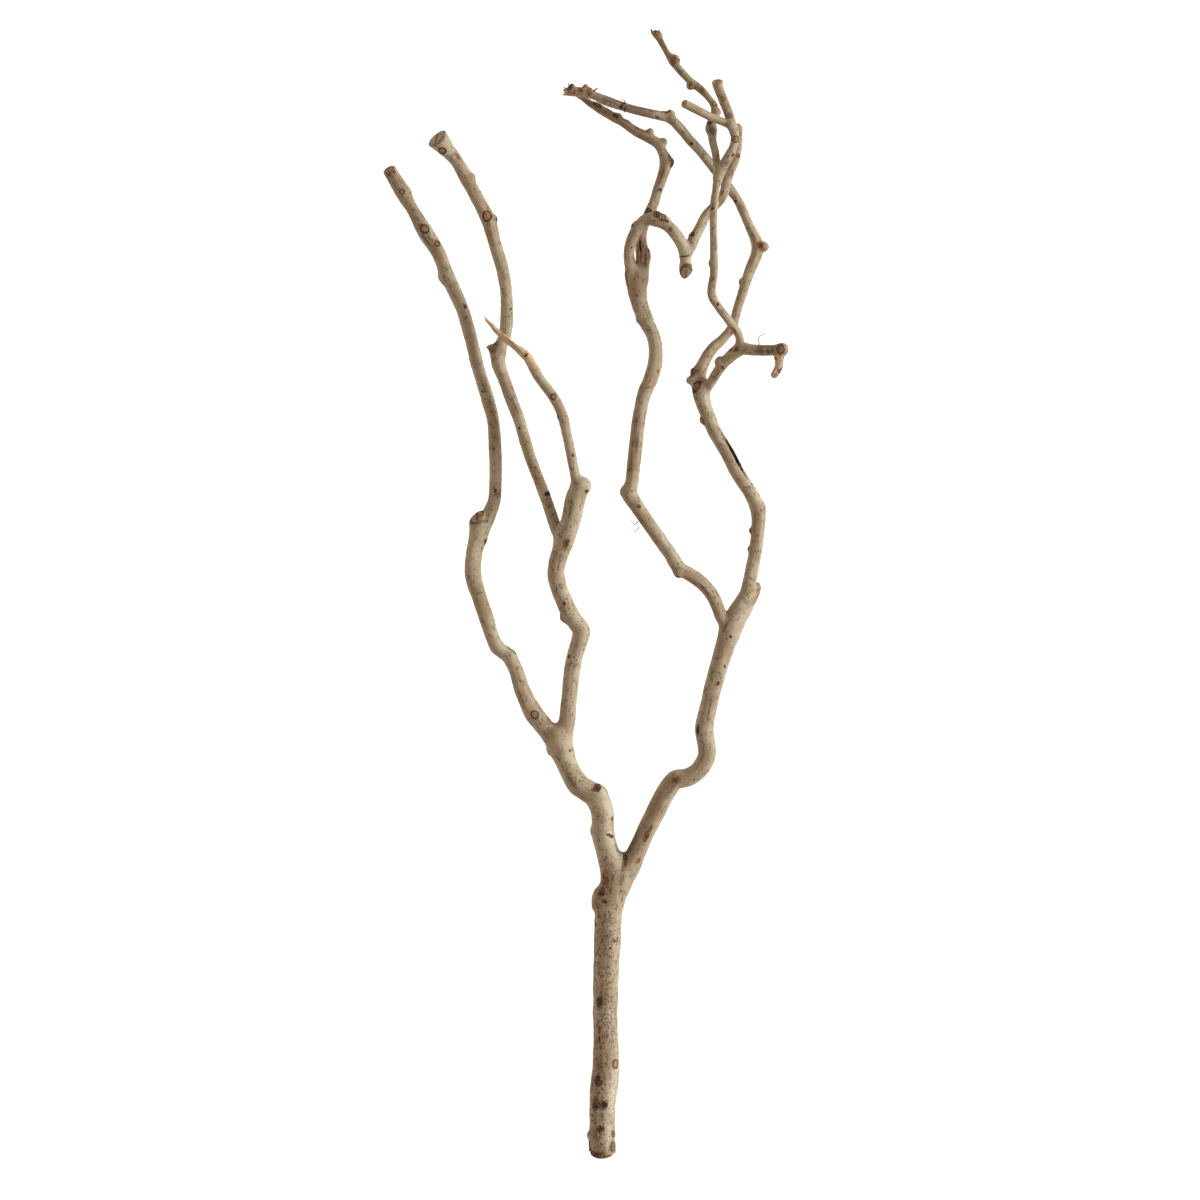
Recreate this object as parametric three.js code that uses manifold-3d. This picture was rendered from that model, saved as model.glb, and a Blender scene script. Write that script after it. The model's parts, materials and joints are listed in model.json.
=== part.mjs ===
// A fallen tree branch, bare and weathered, lying on a flat surface: a short straight trunk that
// forks into two crooked limbs and a crown of thin twigs. Units are millimetres, +Z is up.
// +Y runs from the cut foot of the trunk to the twig tips, and the origin is under the middle of
// the branch, on the surface that it lies on.

import * as THREE from "three";
import { mergeVertices } from "three/addons/utils/BufferGeometryUtils.js";
import Module from "manifold-3d";

const FOOT_X = 14.75; // the trunk's foot from the middle of the lying branch
const FOOT_Y = -448.7;
const RING_STEP = 18; // the most between two rings of a limb's surface
const LIMB_SIDES = 10; // sides of the trunk and the limbs
const TWIG_SIDES = 8; // sides of everything thinner
const THICK = 13; // a mean width over this makes a limb
const SEAM = 0.3; // the gap kept where two pieces of the branch meet
const WOOD = { color: 0xb39f84, roughness: 0.85, metalness: 0 };

const wasm = await Module();
wasm.setup();

// ---- Growth lines ----------------------------------------------------------------------------
// Each line runs outwards from the piece's root, as [x, y, height of the middle, width], with x
// and y from the foot of the trunk. The first point or two lie inside the piece that carries it.

const trunkLine = [
  [0, -2.6, 9.5, 20.6], [-0.6, 20, 9.4, 20.2], [-0.4, 40, 9.8, 21.2], [1, 58, 10.3, 22],
  [2.6, 74, 11.2, 21.4], [2.2, 92, 12, 20], [2, 126, 14, 20], [2.6, 149, 15.5, 20.4],
  [3.6, 174, 17.6, 21.6], [4.2, 192, 19.2, 22], [6.8, 210, 21, 23.2], [9.4, 222, 22.4, 25],
  [11, 234, 23.6, 26],
];

const leftLimbLine = [
  [10, 216, 22, 18], [6, 236, 24.4, 19], [2, 250, 26, 18.4], [0, 262, 27.4, 18.4],
  [-1, 278, 29.2, 18.4], [-6, 288.5, 30.4, 18.8], [-20, 299, 32.4, 17.6], [-29, 315, 34.8, 17.6],
  [-34, 328, 36.6, 20], [-37, 337, 37.8, 21.6],
];

const leftOuterLine = [
  [-36, 329, 36.4, 14], [-46, 344, 38.6, 14.8], [-55, 355, 40.6, 15.2], [-64, 373, 43.4, 13.2],
  [-70, 391, 45.6, 11.8], [-76, 402, 47, 12], [-84, 408, 48.4, 12], [-89, 418, 50, 11.4],
  [-93, 431, 52, 12.2], [-98, 446, 54.2, 12], [-104, 467, 57, 13], [-103, 483, 58, 13.2],
  [-99, 498, 57.4, 14.6], [-92, 513, 54.6, 12], [-87, 525, 52, 10.4], [-86, 539, 49.6, 10],
  [-86, 561, 45.6, 10.4], [-88, 590, 40, 10], [-92, 606, 36.6, 10.6], [-100, 632, 30.6, 10.4],
  [-107, 660, 23.6, 10.8], [-113, 680, 18.4, 11], [-125, 707, 11.4, 11.2], [-133, 727, 6.6, 11.4],
  [-142, 741, 5.2, 12], [-154, 761, 6.4, 10.4], [-161, 774, 8.4, 11.2], [-172.6, 793.4, 11.8, 10.6],
];
const leftOuterStub = [[-99.6, 496, 57.6, 13.6], [-100.4, 507, 59.6, 13], [-100.4, 514.4, 61, 11.6]];

const leftInnerLine = [
  [-34, 326, 36.4, 13], [-30, 342, 39, 13.4], [-28.6, 352, 41, 13.2], [-27, 370, 44.6, 12.8],
  [-23, 400, 51.6, 13.2], [-19, 413, 54.6, 13.6], [-17.6, 422, 56.8, 14.4], [-23, 430, 59, 14],
  [-30, 443, 62, 13.6], [-36, 459, 65, 13.8], [-37.6, 471, 67, 14], [-34, 484, 69.2, 14.2],
  [-30, 496, 71.4, 16], [-25, 512, 74.2, 15.6], [-22, 527, 77, 16], [-18, 538, 79.4, 14.4],
];

const brokenTwigLine = [
  [-20, 533, 78.6, 9], [-22, 545, 81, 8.4], [-24, 555, 82.8, 8], [-28, 575, 86, 8],
  [-31.4, 590, 88, 8.6], [-37.6, 605, 89.8, 8.4], [-52, 625, 91.4, 8], [-60, 639.4, 91.4, 7.6],
  [-70, 647.2, 90.8, 5.2], [-82, 657.8, 89, 3.8], [-93, 669.4, 86.8, 2],
];

const leftMiddleLine = [
  [-31, 491, 70, 9], [-37, 502, 67.6, 9.4], [-41, 514, 65.4, 9.6], [-46, 529, 62.8, 9.2],
  [-58, 560, 58, 9.2], [-67, 590, 54, 9.6], [-73, 606, 52.2, 9.6], [-79.4, 624, 50.2, 10],
  [-84, 637, 49, 11.6], [-82.4, 648, 48.4, 11], [-78.8, 657, 47.8, 10.2], [-77, 670, 47.2, 10],
  [-77.4, 693, 47.2, 9.6], [-80, 709, 48, 10.2], [-86.6, 732, 50, 10.4], [-92, 751, 52.2, 11.8],
  [-102, 770, 55.2, 10.4], [-110, 785, 58, 11], [-118, 798, 61, 10.6], [-126.6, 808, 63.8, 14],
  [-133, 815, 65.8, 17.6],
];

const rightLimbLine = [
  [13, 216, 21.6, 15], [22, 233, 23.6, 16.4], [29, 249, 26, 15.4], [41, 274, 29, 15.6],
  [51, 293, 31, 16], [58, 302, 32, 16], [67.4, 304, 33, 15.4], [77, 310, 34, 14.4],
  [83, 321, 35, 14.2], [83, 330, 35.8, 14.4], [81, 342, 36.8, 15], [83, 355, 38, 14.4],
  [87, 372, 39.4, 14], [93, 394, 41, 14.8], [97.6, 410, 42, 16], [103, 425, 43, 18],
  [111, 440, 44.4, 17], [117.4, 449, 45.4, 13.6], [121.4, 454.6, 46.2, 11.6],
];

const centreLine = [
  [101, 423, 43.4, 9.6], [95, 432, 46, 10], [92, 440, 48.6, 10.2], [88, 449, 51.6, 10.8],
  [80, 459, 54.6, 11.2], [71, 466, 57, 11], [61, 472, 59.4, 11.2], [53, 484, 62, 11.2],
  [38, 505, 65, 11.2], [27, 521, 67, 11.6], [21, 531, 68, 12.6], [23, 541, 69, 11],
  [25, 560, 70, 10.8], [27.2, 579, 70.2, 10.8], [29.6, 596, 70, 10.8], [33, 611, 69.2, 11.4],
  [38.4, 623, 68.2, 12], [41.6, 636, 67, 11.8], [42, 646, 66, 11.2], [40, 657, 64.8, 11.2],
  [34, 670, 63, 12], [28.6, 685, 61, 13.6], [27, 697, 59.8, 16.4], [26.6, 705, 59.2, 18],
];

const archTwigLine = [
  [24, 702, 60, 9], [21, 717, 62.8, 9.2], [21, 727, 65.8, 8.8], [23.6, 735, 68.8, 9.2],
  [28, 743, 72, 9.6], [33.6, 749, 74.6, 9.4], [43, 748.6, 76, 10.4], [52, 744, 76, 9.6],
  [59, 736, 75.2, 9.6], [64, 727, 74.2, 10.2], [65.6, 717, 73, 9], [66, 705, 71.8, 8.8],
];

const crossingTwigLine = [
  [66, 721, 73.4, 7.4], [70, 727, 73, 8], [73, 735, 72, 8.6], [77.6, 744, 70.2, 8.4],
  [82, 752.6, 68.2, 8], [89.6, 761, 65.6, 7.8], [95.4, 768, 63.6, 8], [98.2, 778, 61.2, 8],
  [101.6, 788, 59, 7.4], [104.8, 796, 57.4, 7.6], [107.4, 808, 55, 7.8], [108, 817, 53, 7.2],
  [107.2, 823, 52, 7],
];

const bentTwigLine = [
  [31, 702, 58.8, 10], [34, 714, 56.6, 9.8], [35, 727, 54.2, 9.2], [34.6, 741, 51.8, 8.8],
  [38, 757, 49.2, 9], [41, 765, 48, 8.4], [44, 775, 46.4, 8.4], [47, 783, 45, 8.8],
  [50, 795, 43, 9.4], [48, 804, 41.4, 8], [44, 811.6, 39.8, 8.4], [36, 817, 38.2, 8.4],
  [26, 822, 36.6, 7.8], [16, 829, 35, 7.4], [9, 833, 34, 7.4], [-3, 840, 32.6, 6.8],
  [-14, 846, 31.6, 4.8], [-22, 849, 31, 2.6],
];

const rightOuterLine = [
  [107, 436, 44, 11], [114, 449, 45.8, 11.4], [118, 465, 48, 11.2], [122, 487, 51, 10.8],
  [124, 505, 53, 11.2], [123.6, 519, 54.4, 12], [118, 531.6, 55.4, 11.6], [107, 548, 56.4, 11.4],
  [99, 564, 57, 11.2], [90, 579, 57, 11], [84, 593, 56.2, 11.2], [79, 608, 54.8, 13],
  [77, 619, 53.2, 14.4],
];

const backBranchLine = [
  [78, 611, 52, 9.4], [77, 626, 48, 11], [82, 639, 44, 9.6], [88, 648, 41, 9.2],
  [96, 655.6, 37.8, 7.8], [104, 666, 33, 7.6], [107, 677, 28.2, 7.6], [110, 687, 23.6, 7.8],
  [114, 699, 17.6, 8.2], [118.4, 712, 11.2, 8.8], [123, 723, 6, 9.4], [124.4, 731, 4.2, 10],
  [122, 739, 5.6, 9], [118, 747, 8.6, 8], [108, 768, 17, 7.6], [102, 776, 20.4, 7.8],
  [87, 795, 28, 7.6], [78.6, 805.4, 32, 7.6], [68.6, 816, 36, 7.8], [61, 825, 38.6, 7.8],
  [53, 832, 40.6, 8], [38, 835.6, 43, 7.6], [26, 838.6, 44.2, 7.2], [6, 845, 45.2, 7.2],
  [-2, 849.6, 45.2, 7.2], [-14, 855.6, 45, 8.4], [-27, 855, 44, 8],
];

const frontBranchLine = [
  [80, 611, 55, 8], [87.6, 622.4, 61, 8], [92, 629.4, 65.2, 8.2], [99, 638, 71, 9],
  [105, 643.4, 75, 10.2], [110, 646.4, 77.4, 10], [119, 645.4, 80.2, 9.2], [133, 645, 84, 8.8],
  [142.6, 645.6, 86.6, 8.2],
];
const frontBranchHook = [
  [141, 645.4, 86, 6.8], [140, 638, 85.2, 6.6], [139.4, 631, 84.2, 6], [136.6, 626, 83.6, 4.8],
];

const longTwigLine = [
  [108, 645, 76, 6.6], [108.4, 656, 81.6, 6.8], [100.4, 668, 86, 6.8], [92, 679, 89, 6.8],
  [86.8, 688, 91.2, 7.4], [86.4, 694, 92.6, 7], [88, 705, 95, 6.6], [88, 727, 98.8, 6.4],
  [87.6, 750, 102, 6], [88, 760, 103, 6.6], [89.4, 772, 104, 6], [90.8, 781, 105, 6.8],
  [91.6, 789, 105.6, 7.6],
];

const forkedTwigLine = [
  [91, 780.6, 105, 6.6], [95.4, 791, 106, 7.6], [100.2, 799, 106.4, 8.2], [103.4, 806, 106.6, 6.6],
  [104.6, 814, 106.6, 6.6], [103, 822, 106.2, 7], [98.6, 835, 105, 7.4], [94, 845, 103, 7.6],
  [91.6, 855, 101, 7.6],
];
const forkedTwigSide = [
  [104.2, 816, 106.6, 6], [100.6, 822.4, 107.2, 6.4], [94.6, 825.4, 107.8, 6.4],
  [86.8, 827.4, 109, 6.4], [77, 831.8, 111, 6.8], [64.6, 838, 113.6, 6.4],
];

const tipTwigLine = [
  [90.6, 783, 104.6, 5.4], [90, 794, 103, 6], [89, 802, 101, 6.2], [87, 811, 98, 6.6],
  [87, 818.6, 94.8, 7.2], [86.2, 825, 92.4, 7.6], [89, 834, 89.8, 6.4], [87.6, 840.4, 88.6, 5.8],
  [83, 846.6, 87.6, 5.8], [77, 853, 86.6, 6.4], [70.8, 857.8, 86, 6], [64, 864.6, 85, 6],
  [56.8, 873, 84, 5.6], [52, 880, 83, 5.2], [48, 887, 82, 5], [43.4, 894.4, 81, 5.2],
  [40.4, 899, 80.4, 4.6],
];

// Buds, healed side shoots and swollen joints, as [x, y, height, width].
const trunkKnobs = [[-9.8, 16, 13, 6], [-6.6, 202, 21, 7]];
const leftLimbKnobs = [[-6.4, 261.6, 28, 7], [-2.6, 292, 34, 11], [-40, 326, 37, 8]];
const leftOuterKnobs = [[-74, 401, 50, 8], [-104, 639, 30, 4.4]];
const leftInnerKnobs = [[-30, 432, 60, 8], [-15, 537, 80, 10]];
const leftMiddleKnobs = [[-46, 530, 66, 6], [-86, 644, 49, 9], [-88, 751, 53, 6], [-105, 784, 58, 6]];
const centreKnobs = [[60, 468, 60, 7], [17.6, 533, 68, 7], [30, 671, 64, 7]];
const archTwigKnobs = [[26, 745, 72, 6], [45, 751, 77, 7]];
const crossingTwigKnobs = [[71, 736, 72, 5.6], [107.4, 823, 52, 7.6]];
const bentTwigKnobs = [[52.6, 797, 43, 6], [46.6, 813, 40, 5.4], [37.6, 820.6, 38, 5.4]];
const rightOuterKnobs = [[118, 487, 51, 5], [119, 502, 53, 5], [126, 521, 54.6, 8], [80, 590, 56, 5]];
const backBranchKnobs = [
  [70, 622, 49, 7], [73, 629, 48, 6], [111, 702, 17, 5], [130, 730.6, 7, 7.4], [-13, 858.6, 46, 5],
];
const frontBranchKnobs = [[95, 636, 69, 6], [143.6, 645.6, 86.6, 9]];
const longTwigKnobs = [[86, 714, 96.6, 4.4]];
const tipTwigKnobs = [[69.4, 856.4, 86, 4.6], [57.8, 876, 84, 4.6]];

// ---- Solids ------------------------------------------------------------------------------------

function solidFrom(geometry) {
  const bare = geometry.clone();
  bare.deleteAttribute("normal");
  bare.deleteAttribute("uv");
  const merged = mergeVertices(bare, 1e-4);
  return new wasm.Manifold(
    new wasm.Mesh({
      numProp: 3,
      vertProperties: new Float32Array(merged.attributes.position.array),
      triVerts: new Uint32Array(merged.index.array),
    }),
  );
}

// Where a growth line gets its rings: at each of its points and, where they lie far apart, between.
function ringPlaces(middles) {
  const places = [0];
  for (let point = 1; point < middles.length; point++) {
    const rings = Math.ceil(middles[point].distanceTo(middles[point - 1]) / RING_STEP);
    for (let ring = 1; ring <= rings; ring++) places.push(point - 1 + ring / rings);
  }
  return places;
}

function widthAt(line, place) {
  const point = Math.min(Math.floor(place), line.length - 2);
  return THREE.MathUtils.lerp(line[point][3], line[point + 1][3], place - point);
}

// The corners of one ring, square to the curve, with one side facing down.
function ringCorners(middle, along, radius, sides) {
  const aside = new THREE.Vector3(along.y, -along.x, 0).normalize();
  const upwards = new THREE.Vector3().crossVectors(aside, along);
  const corners = [];
  for (let side = 0; side < sides; side++) {
    const turn = 1.5 * Math.PI + (2 * Math.PI * (side + 0.5)) / sides;
    const corner = middle.clone();
    corner.addScaledVector(aside, Math.cos(turn) * radius);
    corner.addScaledVector(upwards, Math.sin(turn) * radius);
    corners.push(corner.x, corner.y, corner.z);
  }
  return corners;
}

// The faces between the rings, and a flat fan on the first ring and the last.
function sweptFaces(ringCount, sides) {
  const faces = [];
  for (let ring = 0; ring < ringCount - 1; ring++) {
    for (let side = 0; side < sides; side++) {
      const a = ring * sides + side;
      const b = ring * sides + ((side + 1) % sides);
      faces.push(a, a + sides, b, b, a + sides, b + sides);
    }
  }
  const last = (ringCount - 1) * sides;
  for (let side = 1; side < sides - 1; side++) {
    faces.push(0, side, side + 1, last, last + side + 1, last + side);
  }
  return faces;
}

// The closed surface round a growth line: rings along a smooth curve through its points, with flat
// ends. spare widens it all round and lengthens both ends.
function sweptGeometry(line, sides, spare) {
  const middles = line.map(([x, y, z]) => new THREE.Vector3(x, y, z));
  const curve = new THREE.CatmullRomCurve3(middles, false, "centripetal");
  const places = ringPlaces(middles);
  const corners = places.flatMap((place, ring) => {
    const t = place / (line.length - 1);
    const along = curve.getTangent(t);
    const middle = curve.getPoint(t);
    if (ring === 0) middle.addScaledVector(along, -spare);
    if (ring === places.length - 1) middle.addScaledVector(along, spare);
    return ringCorners(middle, along, widthAt(line, place) / 2 + spare, sides);
  });
  const geometry = new THREE.BufferGeometry();
  geometry.setAttribute("position", new THREE.Float32BufferAttribute(corners, 3));
  geometry.setIndex(sweptFaces(places.length, sides));
  return geometry;
}

function knobSolid([x, y, z, width], spare) {
  const round = new THREE.SphereGeometry(width / 2 + spare, 7, 5);
  return solidFrom(round.rotateX(Math.PI / 2).translate(x, y, z));
}

// One piece before it is fitted to its neighbours.
function pieceSolid({ lines, knobs }, spare = 0) {
  const widths = lines[0].map((point) => point[3]);
  const mean = widths.reduce((sum, width) => sum + width, 0) / widths.length;
  const sides = mean > THICK ? LIMB_SIDES : TWIG_SIDES;
  let solid = solidFrom(sweptGeometry(lines[0], sides, spare));
  for (const line of lines.slice(1)) {
    solid = solid.add(solidFrom(sweptGeometry(line, sides, spare)));
  }
  for (const knob of knobs) solid = solid.add(knobSolid(knob, spare));
  return solid;
}

function largestBody(solid) {
  return solid.decompose().reduce((best, body) => (body.volume() > best.volume() ? body : best));
}

// A piece stops at the surface of each piece that carries it, and where the branch touches the
// surface below, its own weight and the weather have worn it flat.
function fittedSolid(piece) {
  let solid = pieceSolid(piece);
  for (const carrier of piece.on) solid = solid.subtract(pieceSolid(pieces[carrier], SEAM));
  return largestBody(solid.trimByPlane([0, 0, 1], 0));
}

function meshFrom(solid, name) {
  const { vertProperties, triVerts } = solid.getMesh();
  const geometry = new THREE.BufferGeometry();
  geometry.setAttribute("position", new THREE.Float32BufferAttribute(vertProperties, 3));
  geometry.setIndex(new THREE.BufferAttribute(triVerts, 1));
  geometry.computeVertexNormals();
  const mesh = new THREE.Mesh(geometry, new THREE.MeshStandardMaterial(WOOD));
  mesh.name = name;
  return mesh;
}

// ---- The branch, split at its main forks ---------------------------------------------------------

const pieces = {
  trunk: { lines: [trunkLine], knobs: trunkKnobs, on: [] },
  left_limb: { lines: [leftLimbLine], knobs: leftLimbKnobs, on: ["trunk"] },
  left_outer_branch: {
    lines: [leftOuterLine, leftOuterStub],
    knobs: leftOuterKnobs,
    on: ["left_limb"],
  },
  left_inner_branch: {
    lines: [leftInnerLine],
    knobs: leftInnerKnobs,
    on: ["left_limb", "left_outer_branch"],
  },
  left_broken_twig: { lines: [brokenTwigLine], knobs: [], on: ["left_inner_branch"] },
  left_middle_branch: {
    lines: [leftMiddleLine],
    knobs: leftMiddleKnobs,
    on: ["left_inner_branch"],
  },
  right_limb: { lines: [rightLimbLine], knobs: [], on: ["trunk", "left_limb"] },
  right_outer_branch: { lines: [rightOuterLine], knobs: rightOuterKnobs, on: ["right_limb"] },
  back_branch: { lines: [backBranchLine], knobs: backBranchKnobs, on: ["right_outer_branch"] },
  front_branch: {
    lines: [frontBranchLine, frontBranchHook],
    knobs: frontBranchKnobs,
    on: ["right_outer_branch", "back_branch"],
  },
  long_twig: { lines: [longTwigLine], knobs: longTwigKnobs, on: ["front_branch"] },
  forked_twig: { lines: [forkedTwigLine, forkedTwigSide], knobs: [], on: ["long_twig"] },
  tip_twig: { lines: [tipTwigLine], knobs: tipTwigKnobs, on: ["long_twig", "forked_twig"] },
  centre_branch: {
    lines: [centreLine],
    knobs: centreKnobs,
    on: ["right_limb", "right_outer_branch"],
  },
  arch_twig: { lines: [archTwigLine], knobs: archTwigKnobs, on: ["centre_branch"] },
  bent_twig: { lines: [bentTwigLine], knobs: bentTwigKnobs, on: ["centre_branch", "arch_twig"] },
  crossing_twig: { lines: [crossingTwigLine], knobs: crossingTwigKnobs, on: ["arch_twig"] },
};

const branch = new THREE.Group();
branch.position.set(FOOT_X, FOOT_Y, 0);
for (const [name, piece] of Object.entries(pieces)) branch.add(meshFrom(fittedSolid(piece), name));

export default branch;
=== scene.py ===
# A fallen tree branch, weathered and almost bare of bark, lying on a pale floor. It grew as one
# piece of wood, so each part's growth is laid into one body of wood, and at the end the skin of
# that body is cut into the parts at the forks. Then no joint between two parts shows.

import json
import math

import bpy
import numpy as np
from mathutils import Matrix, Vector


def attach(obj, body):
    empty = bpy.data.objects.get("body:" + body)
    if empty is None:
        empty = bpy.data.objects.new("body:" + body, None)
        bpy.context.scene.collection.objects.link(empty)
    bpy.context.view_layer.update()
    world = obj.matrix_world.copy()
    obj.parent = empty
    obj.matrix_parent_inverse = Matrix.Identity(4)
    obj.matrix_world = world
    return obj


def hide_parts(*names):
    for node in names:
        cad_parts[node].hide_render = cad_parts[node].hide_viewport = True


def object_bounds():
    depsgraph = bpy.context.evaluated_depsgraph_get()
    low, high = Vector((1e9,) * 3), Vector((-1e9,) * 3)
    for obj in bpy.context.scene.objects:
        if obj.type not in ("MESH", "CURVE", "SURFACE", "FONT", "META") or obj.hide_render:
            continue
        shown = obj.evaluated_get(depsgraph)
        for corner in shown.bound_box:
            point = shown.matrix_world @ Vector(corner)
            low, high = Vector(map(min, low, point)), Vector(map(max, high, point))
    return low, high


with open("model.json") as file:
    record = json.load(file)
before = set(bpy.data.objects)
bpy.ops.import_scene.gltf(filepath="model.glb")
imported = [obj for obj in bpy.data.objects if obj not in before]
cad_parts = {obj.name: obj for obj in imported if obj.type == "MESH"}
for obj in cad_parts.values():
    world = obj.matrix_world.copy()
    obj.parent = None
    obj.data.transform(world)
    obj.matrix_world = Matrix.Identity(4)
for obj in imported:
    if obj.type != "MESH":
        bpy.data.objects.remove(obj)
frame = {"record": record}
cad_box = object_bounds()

import openvdb
from mathutils import Vector

# ---- The floor, the light and the camera ---------------------------------------------------------
# A white table that glows a little, like a light table, so that shadows stay faint. A large soft
# lamp stands low on the right, a weak one on the left, and the room is evenly bright.

scene = bpy.context.scene
scene.view_settings.view_transform = "Standard"

FLOOR_SIDE = 12.0
VIEW_HEIGHT = 6.712
VIEW_MIDDLE = (0.01235, -0.0023)

floor_mesh = bpy.data.meshes.new("floor")
half = FLOOR_SIDE / 2
floor_mesh.from_pydata([(-half, -half, 0), (half, -half, 0), (half, half, 0), (-half, half, 0)], [],
                       [(0, 1, 2, 3)])
floor = bpy.data.objects.new("floor", floor_mesh)
scene.collection.objects.link(floor)
floor_paint = bpy.data.materials.new("white table")
floor_paint.use_nodes = True
paint = floor_paint.node_tree.nodes["Principled BSDF"]
paint.inputs["Base Color"].default_value = (0.5, 0.5, 0.5, 1)
paint.inputs["Roughness"].default_value = 0.9
paint.inputs["Specular IOR Level"].default_value = 0.1
paint.inputs["Emission Color"].default_value = (1, 1, 1, 1)
paint.inputs["Emission Strength"].default_value = 0.88
floor_mesh.materials.append(floor_paint)

room = bpy.data.worlds.new("bright room")
room.use_nodes = True
room.node_tree.nodes["Background"].inputs["Color"].default_value = (1, 0.76, 0.57, 1)
room.node_tree.nodes["Background"].inputs["Strength"].default_value = 0.45
scene.world = room


def soft_lamp(name, strength, softness, azimuth, elevation, colour):
    """A very large lamp far away, from an angle round from +X and an angle over the floor."""
    lamp = bpy.data.objects.new(name, bpy.data.lights.new(name, "SUN"))
    lamp.data.energy = strength
    lamp.data.angle = math.radians(softness)
    lamp.data.color = colour
    turn, rise = math.radians(azimuth), math.radians(elevation)
    towards = Vector((math.cos(turn) * math.cos(rise), math.sin(turn) * math.cos(rise),
                      math.sin(rise)))
    lamp.rotation_euler = towards.to_track_quat("Z", "Y").to_euler()
    scene.collection.objects.link(lamp)


soft_lamp("key lamp", 4.3, 34, 8, 20, (0.95, 1.0, 1.0))
soft_lamp("fill lamp", 0.6, 40, 176, 6, (1.0, 1.0, 1.0))

camera = bpy.data.objects.new("camera", bpy.data.cameras.new("camera"))
camera.data.lens = 250
camera.data.sensor_width = 36
camera.data.clip_end = 30
camera.location = (*VIEW_MIDDLE, VIEW_HEIGHT)
scene.collection.objects.link(camera)
scene.camera = camera

# ---- The trunk -----------------------------------------------------------------------------------
# The straight butt, sawn off at a slant at its foot, with the oldest knots and many dark pores.
# The wood is laid into a grid that holds the distance from its surface, as tubes round growth
# lines that swell into each other at the forks, as living wood does.

FOOT = np.array([0.01475, -0.4487, 0, 0])  # the foot of the trunk from the middle of the branch
VOXEL = 0.00063
REACH = 0.0045  # how far from the surface the distance is kept
MARGIN = 0.007  # the room round the branch in the grid
TUBE_STEP = 0.0028  # the longest straight run of a tube
FINE_STEP = 0.001  # the same where places on a growth line are looked up
SAW_SPAN = 0.025  # a saw cuts nothing further off than this
SAW_ROUNDING = 0.0009
KNOB_FILLET = 0.00045  # for each mm of a knob's width
low_corner = np.array(cad_box[0]) - MARGIN
grid_size = np.ceil((np.array(cad_box[1]) + MARGIN - low_corner) / VOXEL).astype(int)
wood = np.full(grid_size, REACH, np.float32)
lines = []  # every growth line that has been laid in, in the order of growth


def growth_curve(points, step):
    """A smooth curve through growth points (x, y, height, width in mm from the foot), in metres,
    with the radius as the fourth number. Steps are at most step long."""
    rows = np.array(points, float) / 1000
    rows[:, 3] /= 2
    rows += FOOT
    rows = np.vstack([2 * rows[0] - rows[1], rows, 2 * rows[-1] - rows[-2]])
    curve = []
    for p0, p1, p2, p3 in zip(rows, rows[1:], rows[2:], rows[3:]):
        d0, d1, d2 = (math.sqrt(np.linalg.norm((b - a)[:3]))
                      for a, b in ((p0, p1), (p1, p2), (p2, p3)))
        leave = ((p1 - p0) / d0 - (p2 - p0) / (d0 + d1) + (p2 - p1) / d1) * d1
        arrive = ((p2 - p1) / d1 - (p3 - p1) / (d1 + d2) + (p3 - p2) / d2) * d1
        steps = max(1, math.ceil(d1 * d1 / step))
        t = (np.arange(steps) / steps)[:, None]
        curve.append(p1 + leave * t + (3 * (p2 - p1) - 2 * leave - arrive) * t**2
                     + (2 * (p1 - p2) + leave + arrive) * t**3)
    return np.vstack(curve + [rows[-2:-1]])


def window(lowest, highest):
    """The part of the grid between two corners."""
    first = np.floor((lowest - low_corner) / VOXEL).astype(int).clip(0)
    last = np.minimum(np.ceil((highest - low_corner) / VOXEL).astype(int) + 1, grid_size)
    return tuple(slice(int(a), int(b)) for a, b in zip(first, last))


def grid_places(part):
    """The x, y and z of a window's grid points, ready to be combined."""
    return [(low_corner[axis] + VOXEL * np.arange(part[axis].start, part[axis].stop))
            .astype(np.float32).reshape([-1 if axis == other else 1 for other in range(3)])
            for axis in range(3)]


def tube(curve):
    """The distance from a tube round a curve, in the window that holds the tube."""
    spare = curve[:, 3].max() + REACH
    whole = window(curve[:, :3].min(0) - spare, curve[:, :3].max(0) + spare)
    near = np.full([side.stop - side.start for side in whole], REACH, np.float32)
    for a, b in zip(curve[:-1], curve[1:]):
        spare = max(a[3], b[3]) + REACH
        part = window(np.minimum(a, b)[:3] - spare, np.maximum(a, b)[:3] + spare)
        x, y, z = grid_places(part)
        x, y, z = x - a[0], y - a[1], z - a[2]
        run = (b - a).tolist()
        length = float(run[0]**2 + run[1]**2 + run[2]**2)
        t = np.clip((x * run[0] + y * run[1] + z * run[2]) / length, 0, 1)
        away = np.sqrt((x - t * run[0])**2 + (y - t * run[1])**2 + (z - t * run[2])**2)
        away -= float(a[3]) + t * run[3]
        here = tuple(slice(p.start - w.start, p.stop - w.start) for p, w in zip(part, whole))
        near[here] = np.minimum(near[here], away)
    return whole, near


def unite(part, near, fillet):
    """Adds a shape to the wood, with a rounded inner corner."""
    here = wood[part]
    shared = np.maximum(fillet - np.abs(here - near), 0)
    shared[np.maximum(here, near) >= REACH] = 0
    wood[part] = np.minimum(here, near) - shared**2 / (4 * fillet)


def carve(part, near, soft):
    """Takes a shape out of the wood, with a rounded edge."""
    here = wood[part]
    shared = np.maximum(soft - np.abs(here + near), 0)
    wood[part] = np.maximum(here, -near) + shared**2 / (4 * soft)


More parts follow.
